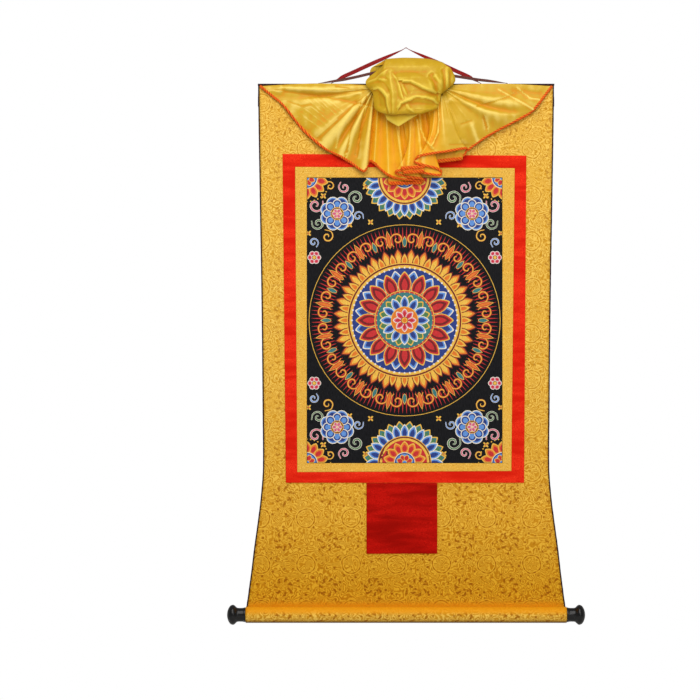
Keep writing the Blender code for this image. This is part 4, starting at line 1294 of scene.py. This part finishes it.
# The planes that its folded layers make: ridges, and the pockets and hollows between them.
LOBE_CREASES = [
    Crease(1.5, 6.0, -1, [(-30, -37), (-39, -43), (-47, -50), (-56, -53)]),
    Crease(
        3.0, 10.0, -1, [(-50, -66), (-43, -65), (-39, -69), (-34, -75), (-31, -80), (-29, -92), (-26, -103)]
    ),
    Crease(1.3, 5.0, 1, [(-41, -50), (-35, -51), (-29, -53), (-24, -61)]),
    Crease(2.6, 7.0, 0, [(-25, -41), (-24, -56), (-21, -73), (-21, -86), (-21, -105)]),
    Crease(2.1, 6.0, 1, [(-24, -40), (-16, -49), (-11, -61), (-8, -73), (-5, -83)]),
    Crease(1.0, 3.0, 0, [(-10, -52), (-6, -64), (-1, -75), (4, -82)]),
    Crease(
        2.8,
        9.0,
        -1,
        [(-11, -94), (-9, -89), (-1, -86), (5, -84), (10, -80), (16, -79), (29, -80), (39, -82), (46, -87)],
    ),
    Crease(1.5, 4.0, 0, [(2, -92), (4, -97), (12, -103), (19, -104), (29, -101), (44, -95)]),
    Crease(-2.2, 7.0, 0, [(5, -90), (19, -89), (39, -90)]),
    Crease(-1.2, 5.0, 0, [(-11, -99), (-4, -92)]),
    Crease(4.4, 15.0, -1, [(-5, -55), (6, -55), (16, -60), (25, -65), (35, -69), (44, -71)]),
    Crease(-2.4, 6.0, 0, [(37, -46), (42, -57), (46, -71), (48, -86)]),
    Crease(-1.6, 8.0, 0, [(-2, -64), (6, -76), (15, -75), (43, -76)]),
    Crease(1.6, 5.0, 0, [(44, -47), (51, -55), (55, -66)]),
    Crease(-1.5, 4.0, 0, [(55, -38), (57, -52), (57, -66)]),
    Crease(1.5, 3.5, 0, [(62, -34), (62, -65)]),
    Crease(-1.1, 3.0, 0, [(67, -40), (66, -65)]),
    Crease(-1.6, 8.0, 0, [(-24, -41), (0, -41), (29, -40)]),
    Crease(-3.8, 10.0, 0, [(-41, -76), (-40, -90)]),
    Crease(-1.6, 6.0, 0, [(-42, -56), (-36, -62), (-30, -70)]),
]
HemLayer = namedtuple("HemLayer", "from_x from_z to_x to_z depth high")
# The inner edges of the flattened pleats, which look out below the others, in millimetres.
HEM_LAYERS = [
    HemLayer(-27.5, -209.0, 24.5, -208.0, -10.4, 18.0),
    HemLayer(-8.5, -187.5, 29.0, -184.5, -24.8, 5.0),
    HemLayer(-5.0, -193.5, 27.5, -191.0, -24.0, 7.0),
    HemLayer(41.0, -176.5, 86.0, -171.5, -17.6, 17.0),
]
FAN_ROWS, LOBE_ROWS, STEPS = 62, 164, 8
# Most of the bunch's rows lie in front, where its folds show.
LOBE_SHARES, LOBE_STOPS = [0.0, 30 / LOBE_ROWS, 142 / LOBE_ROWS, 1.0], [0.0, 5.0, 12.5, 16.0]
# How wide the satin is at the hem and how long over the bunch, for its weave.
FAN_WIDE, FAN_LONG, LOBE_LONG, GUSSET_LONG = 0.62, 0.14, 0.30, 0.008
TWIST, HEM_LIES, HEM_WIDE, HEM_HIGH = 4.2 * MM, 1.5 * MM, 2.1 * MM, 1.3 * MM


def from_line(x, z, line):
    """How far a place is from a line of points, and less than 0 on the left of it as drawn."""
    nearest = (1e9, 1.0)
    for (ax, az), (bx, bz) in zip(line, line[1:]):
        ux, uz = bx - ax, bz - az
        share = min(1.0, max(0.0, ((x - ax) * ux + (z - az) * uz) / (ux * ux + uz * uz)))
        dx, dz = x - ax - share * ux, z - az - share * uz
        nearest = min(nearest, (math.hypot(dx, dz), 1.0 if ux * dz <= uz * dx else -1.0))
    return nearest[0] * nearest[1]


def rise(x, z, creases):
    """How far the creases stand out at a place, as the sum of what each adds near its line."""
    total = 0.0
    for crease in creases:
        gap = from_line(x, z, crease.line)
        wide = crease.wide * (0.4 if crease.lean * gap < 0 else 1.0)
        total += crease.high * math.exp(0.35 - math.hypot(gap / wide, 0.35))
    return total


def facets(x, z, creases):
    """How far folded planes stand out at a place: the highest of the ridges with the deepest hollow."""
    proud = sunk = 0.0
    for crease in creases:
        gap = from_line(x, z, crease.line)
        wide = crease.wide * (0.25 if crease.lean * gap < 0 else 1.0)
        plane = crease.high * max(0.0, 1.08 - math.hypot(gap / wide, 0.08))
        proud, sunk = max(proud, plane), min(sunk, plane)
    return proud + sunk


def fold_at(place):
    """A fold between two of the table's, with the skirt's crests made narrow."""
    fold, i = row_at(FOLDS, place), min(int(place), len(FOLDS) - 2)
    in_skirt, share = i - len(LEFT_WING), place - i
    if 0 <= in_skirt < len(SKIRT) - 1:
        share = share**CREST_POWER if in_skirt % 2 == 0 else 1 - (1 - share) ** CREST_POWER
        neck_y = lerp(FOLDS[i].neck_y, FOLDS[i + 1].neck_y, share)
        fold = fold._replace(neck_y=neck_y, hem_y=lerp(FOLDS[i].hem_y, FOLDS[i + 1].hem_y, share))
    return fold


def fan_point(place, share):
    """A point of the wings and the skirt: share runs from 0 at the gathered neck to 1 at the hem."""
    fold = fold_at(place)
    swell = math.sin(math.pi * share)
    on_wing = held((place - len(LEFT_WING) - len(SKIRT) + 1) / 3)
    x = lerp(fold.neck_x, fold.hem_x, share) + fold.tuck * share ** lerp(TUCK_POWER, WING_TUCK_POWER, on_wing)
    depth = share ** lerp(DEPTH_POWER, WING_DEPTH_POWER, on_wing)
    y = lerp(fold.neck_y, fold.hem_y, depth) - fold.belly * swell
    z = lerp(fold.neck_z, fold.hem_z, share) - fold.sag * swell
    free = min(1.0, 8 * share)
    y -= free * rise(x, z, FAN_CREASES)
    uneven = noise.noise(Vector((place * 3.1, share * 2.0, 4.0)))
    y -= lerp(1.1, 0.45, on_wing) * (1 - share) ** 2 * free * uneven
    y -= 0.45 * free * noise.noise(Vector((x / 11, z / 15, 1.0)))
    return Vector((x, min(y, OVER_BORDER if z < BORDER_HEAD else OVER_BROCADE), z)) * MM


def gusset_point(place, share):
    """The silk that runs on past a wing's gathered neck, behind the bunch, and closes it at its side."""
    left = place < len(LEFT_WING)
    turn = place / (len(LEFT_WING) - 1) if left else (len(FOLDS) - 1 - place) / (len(RIGHT_WING) - 1)
    along = Vector(((1 - 0.55 * turn) * (1 if left else -1), 0, 0.89 * turn)).normalized()
    return fan_point(place, 0.0) + (along * 8 + Vector((0, 2, 0))) * share * MM


def smooth_tip(x):
    """How far the pointed fold under the lip hangs down at x, from 0 to 1: steep on the left of it."""
    if x > -11.4:
        return max(0.0, 1 - (x + 11.4) / 43.3)
    return max(0.0, min(1 - 0.37 * (-11.4 - x) / 17.4, (x + 32.0) / 3.2 * 0.63))


def lobe_point(place, share):
    """A point of the bunch: over the neck, down inside to the lip, up the front and down behind."""
    across = (place - len(LEFT_WING)) / (len(SKIRT) - 1)
    at = row_at(LOBE, place_in([station.across for station in LOBE], across))
    start = fan_point(place, 0.0) / MM
    inner_x, outer_x = (lerp(start.x, at.lip_x, part) for part in (0.3, 0.7))
    neck_y, lip_back = start.y - 1.5, at.lip_y + 2.6
    # At the upper left the front lies open, and the ribbon shows before the silk behind it.
    opened = LOBE_OPENING * max(0.0, 1 - across / LOBE[2].across)
    shoulder_x = lerp(at.middle_x, at.top_x, 0.5) + 0.93 * opened
    tip = smooth_tip(outer_x)
    under_y = lerp(lerp(neck_y, lip_back, 0.7), at.lip_y + 6.5, tip)
    route = [
        (start.x, start.y, start.z),
        (start.x, neck_y, start.z + 3.5),
        (start.x * 1.02, lerp(neck_y, lip_back, 0.25), -71.0),
        (inner_x, lerp(neck_y, lip_back, 0.4), -75.0),
        (outer_x, under_y, lerp(lerp(-75.0, at.lip_z, 0.6), -122.4, tip)),
        (at.lip_x, lip_back, at.lip_z + 2.6),
        (at.lip_x, at.lip_y, at.lip_z),
        (at.lip_x, at.lip_y - 3.0, at.lip_z + 2.0),
        (lerp(at.lip_x, at.middle_x, 0.1), lerp(at.lip_y, at.front_y, 0.5) - 3.6, at.lip_z + 9.0),
        (lerp(at.lip_x, at.middle_x, 0.2), at.front_y - 2.0, -71.0),
        (at.middle_x, at.front_y + 3.0, -53.0),
        (shoulder_x, lerp(at.front_y, -22.0, 0.5), lerp(-36.0, at.top_z, 0.25)),
        (at.top_x + opened, -23.0, at.top_z - 1.5),
        (at.top_x + opened, -16.5, at.top_z + 0.5),
        (at.top_x, -10.8, at.top_z - 3.0),
        (lerp(at.top_x, at.middle_x, 0.4), -8.8, -42.0),
        (lerp(at.top_x, at.middle_x, 0.5), -8.6, -55.2),
    ]
    part = place_in(LOBE_SHARES, share)
    i = min(int(part), len(LOBE_STOPS) - 2)
    row = lerp(LOBE_STOPS[i], LOBE_STOPS[i + 1], part - i)
    point = smooth_at([Vector(stop) for stop in route], row)
    # Only the front has folds, and they die out at its lip, its shoulder and its sides.
    front = held(min(row - 6.0, 12.5 - row, 12 * across, 12 * (1 - across)))
    point.y -= front * facets(point.x, point.z, LOBE_CREASES)
    point.y -= front * 0.5 * noise.noise(Vector((point.x / 8, point.z / 10, 9.0)))
    return point * MM


def mark_crests(cloth, name, passes, reach):
    """Notes on each vertex how far it stands out of the cloth round it: 0 sunk, 0.5 level, 1 proud."""
    cloth.normal_update()
    crest = cloth.verts.layers.float.new(name)
    around = [[edge.other_vert(vertex).index for edge in vertex.link_edges] for vertex in cloth.verts]
    evened = [vertex.co.copy() for vertex in cloth.verts]
    for _ in range(passes):
        evened = [
            sum((evened[j] for j in near), evened[i]) / (len(near) + 1) for i, near in enumerate(around)
        ]
    for vertex, level in zip(cloth.verts, evened):
        vertex[crest] = held(0.5 + 0.5 * (vertex.co - level).dot(vertex.normal) / reach)


def golden_satin():
    """Thin satin, with painted highlights on the folds' crests, painted shade where the cloth is sunk and
    over the bunch, and a painted orange glow on the gathered skirt.
    """
    cloth = woven("golden_satin", 0.35 * MM, 0.85, 0.04 * MM)
    tree = cloth.tree
    spread, blend, product = partial(between, tree), partial(blended, tree), partial(times, tree)
    crest, line = (
        add_node(tree, "Attribute", attribute_name=name).outputs["Fac"] for name in ("crest", "pressed_line")
    )
    place = object_place(tree)
    across, down, _ = parts_of(tree, cloth.flat)
    bunch = spread(down, 0.0, 0.012)
    painted_skirt_glow = product(spread(across, 0.120, 0.165), spread(across, 0.405, 0.375))
    painted_skirt_glow = product(painted_skirt_glow, maths(tree, "SUBTRACT", 1.0, bunch))
    cloudy = speckle(tree, place, 45.0, 4.0, Roughness=0.6)
    crest = maths(tree, "ADD", crest, spread(cloudy, 0.25, 0.75, -0.10, 0.10))
    # Painted light and shade by how far the cloth stands out: painted shade, its level tone and painted
    # highlight, each more orange on the gathered skirt as a painted glow.
    deep = blend(painted_skirt_glow, (0.54, 0.235, 0.006, 1), (0.86, 0.29, 0.003, 1))
    level = blend(painted_skirt_glow, (0.61, 0.37, 0.021, 1), (0.84, 0.38, 0.006, 1))
    proud = blend(painted_skirt_glow, (0.88, 0.64, 0.13, 1), (0.88, 0.50, 0.028, 1))
    colour = blend(spread(crest, 0.05, 0.5), deep, level)
    colour = blend(spread(crest, 0.52, 0.95), colour, proud)
    # Painted shade in the fine sunk lines and painted highlights on the fine raised ones.
    colour = blend(spread(line, 0.10, 0.40, 0.60, 0.0), colour, (0.70, 0.25, 0.004, 1))
    colour = blend(spread(line, 0.60, 0.92, 0.0, 0.35), colour, (0.92, 0.72, 0.20, 1))
    colour = blend(spread(cloth.fleck, 0.4, 0.75, 0.0, 0.3), colour, (0.66, 0.36, 0.015, 1))
    # Painted shade dims the bunch.
    colour = blend(bunch, colour, (0.88, 0.87, 0.44, 1), blend_type="MULTIPLY")
    slub = relief(tree, speckle(tree, place, 190.0, 5.0, Roughness=0.7), 0.6, 0.3 * MM)
    feed(tree, cloth.bump, {"Normal": slub.outputs[0]})
    feed(tree, cloth.shader, {"Base Color": colour, "Roughness": spread(crest, 0.2, 0.9, 0.44, 0.30)})
    feed(tree, cloth.shader, {"Specular IOR Level": 0.36, "Specular Tint": (1.0, 0.86, 0.55, 1)})
    return cloth.made


SATIN = golden_satin()


def overlock():
    """Close orange-red stitches over the raw edge, with painted shade between the threads."""
    made, tree, shader = new_finish("overlock_thread")
    flat = flat_place(tree)
    across, down, _ = parts_of(tree, flat)
    phase = maths(tree, "MULTIPLY_ADD", down, 2 * math.pi / TWIST, times(tree, across, 3 * 2 * math.pi))
    thread = between(tree, maths(tree, "COSINE", phase), -0.9, 0.5)
    patchy = between(tree, speckle(tree, flat, 90.0, 3.0), 0.35, 0.65)
    bright = blended(tree, patchy, (0.84, 0.085, 0.004, 1), (0.88, 0.24, 0.010, 1))
    # Painted shade darkens the gaps between the thread's turns.
    colour = blended(tree, thread, (0.46, 0.022, 0.003, 1), bright)
    bump = relief(tree, thread, 0.6, 0.3 * MM)
    sockets = {"Base Color": colour, "Roughness": 0.55, "Normal": bump.outputs[0], "Specular IOR Level": 0.12}
    feed(tree, shader, sockets)
    return made


def rope_hem(name, edge_at, inner_at, steps, finish, heavy=1.0):
    """The overlocked edge: a flat roll of thread along the points edge_at(0 to 1), twisted like a rope."""
    path, inner = ([place_at(i / steps) for i in range(steps + 1)] for place_at in (edge_at, inner_at))
    lengths = lengths_along(path)

    def point(across, down):
        i = round(down * steps)
        along = heading(path, i)
        into = (inner[i] - path[i]).normalized()
        into = (into - along * into.dot(along)).normalized()
        out = along.cross(into)
        turn = 2 * math.pi * across
        lobes = 1 + 0.17 * math.cos(3 * turn - 2 * math.pi * lengths[i] / TWIST)
        closing = min(1.0, i / 3, (steps - i) / 3)
        uneven = 0.92 + 0.3 * noise.noise(Vector((lengths[i] / (28 * MM), 3.0, 0.0)))
        size = heavy * lobes * closing * uneven
        inwards = into * (HEM_LIES + HEM_WIDE * size * math.cos(turn))
        return path[i] + inwards + out * HEM_HIGH * size * math.sin(turn)

    roll = cloth_grid(12, steps, point, laid_out(1.0, lengths[-1]))
    bmesh.ops.remove_doubles(roll, verts=roll.verts[:], dist=0.004 * MM)
    return put_together(name, roll, [finish])


def layer_point(layer, across, down):
    x = lerp(layer.from_x, layer.to_x, across)
    z = lerp(layer.from_z, layer.to_z, across) + layer.high * (1 - down)
    wave = 0.7 * math.sin(0.28 * x) * down + 0.35 * math.sin(0.9 * x + 1.0) * down
    return Vector((x, layer.depth + 0.1 * (1 - down) + wave, z)) * MM


def silk_cover():
    places, first, last = len(FOLDS) - 1, len(LEFT_WING), len(LEFT_WING) + len(SKIRT) - 1
    fan = partial(lerp, 0, places)
    cloth = cloth_grid(
        places * STEPS,
        FAN_ROWS,
        lambda across, down: fan_point(fan(across), down),
        laid_out(FAN_WIDE, FAN_LONG),
    )
    add_grid(
        cloth,
        (last - first) * STEPS,
        LOBE_ROWS,
        lambda across, down: lobe_point(lerp(first, last, across), 1 - down),
        lambda across, down: (FAN_WIDE * lerp(first, last, across) / places, LOBE_LONG * (1 - down)),
    )
    for start, end in ((0, first - 1), (last + 1, places)):
        add_grid(
            cloth,
            (end - start) * STEPS,
            6,
            lambda across, down: gusset_point(lerp(start, end, across), down),
            lambda across, down: (FAN_WIDE * lerp(start, end, across) / places, -GUSSET_LONG * down),
        )
    bmesh.ops.remove_doubles(cloth, verts=cloth.verts[:], dist=0.01 * MM)
    cloth.verts.index_update()
    bmesh.ops.recalc_face_normals(cloth, faces=cloth.faces[:])
    cloth.normal_update()
    face_front(cloth)
    # These marks carry the satin's painted highlights and painted shade.
    mark_crests(cloth, "crest", 8, 0.8 * MM)
    mark_crests(cloth, "pressed_line", 1, 0.09 * MM)
    thread = overlock()
    for number, layer in enumerate(HEM_LAYERS):
        layer_at = partial(layer_point, layer)
        add_grid(cloth, 40, 16, layer_at, lambda across, down: (0.05 * across, -0.02 * down))
        steps = round(3 * (layer.to_x - layer.from_x))
        rope_hem(
                f"silk_hem_{number + 1}",
                lambda share: layer_at(share, 1.0),
                lambda share: layer_at(share, 0.9),
                steps,
                thread,
                1.4,
            )
    cover = put_together("silk_cover", cloth, [SATIN], "silk_veil", SILK_THICK)
    edge, within = (lambda share: fan_point(fan(share), 1.0)), (lambda share: fan_point(fan(share), 0.97))
    rope_hem("silk_hem", edge, within, 2600, thread)


silk_cover()


# ---- The end -----------------------------------------------------------------------------------------
# The scroll hangs finished.

bpy.context.view_layer.update()
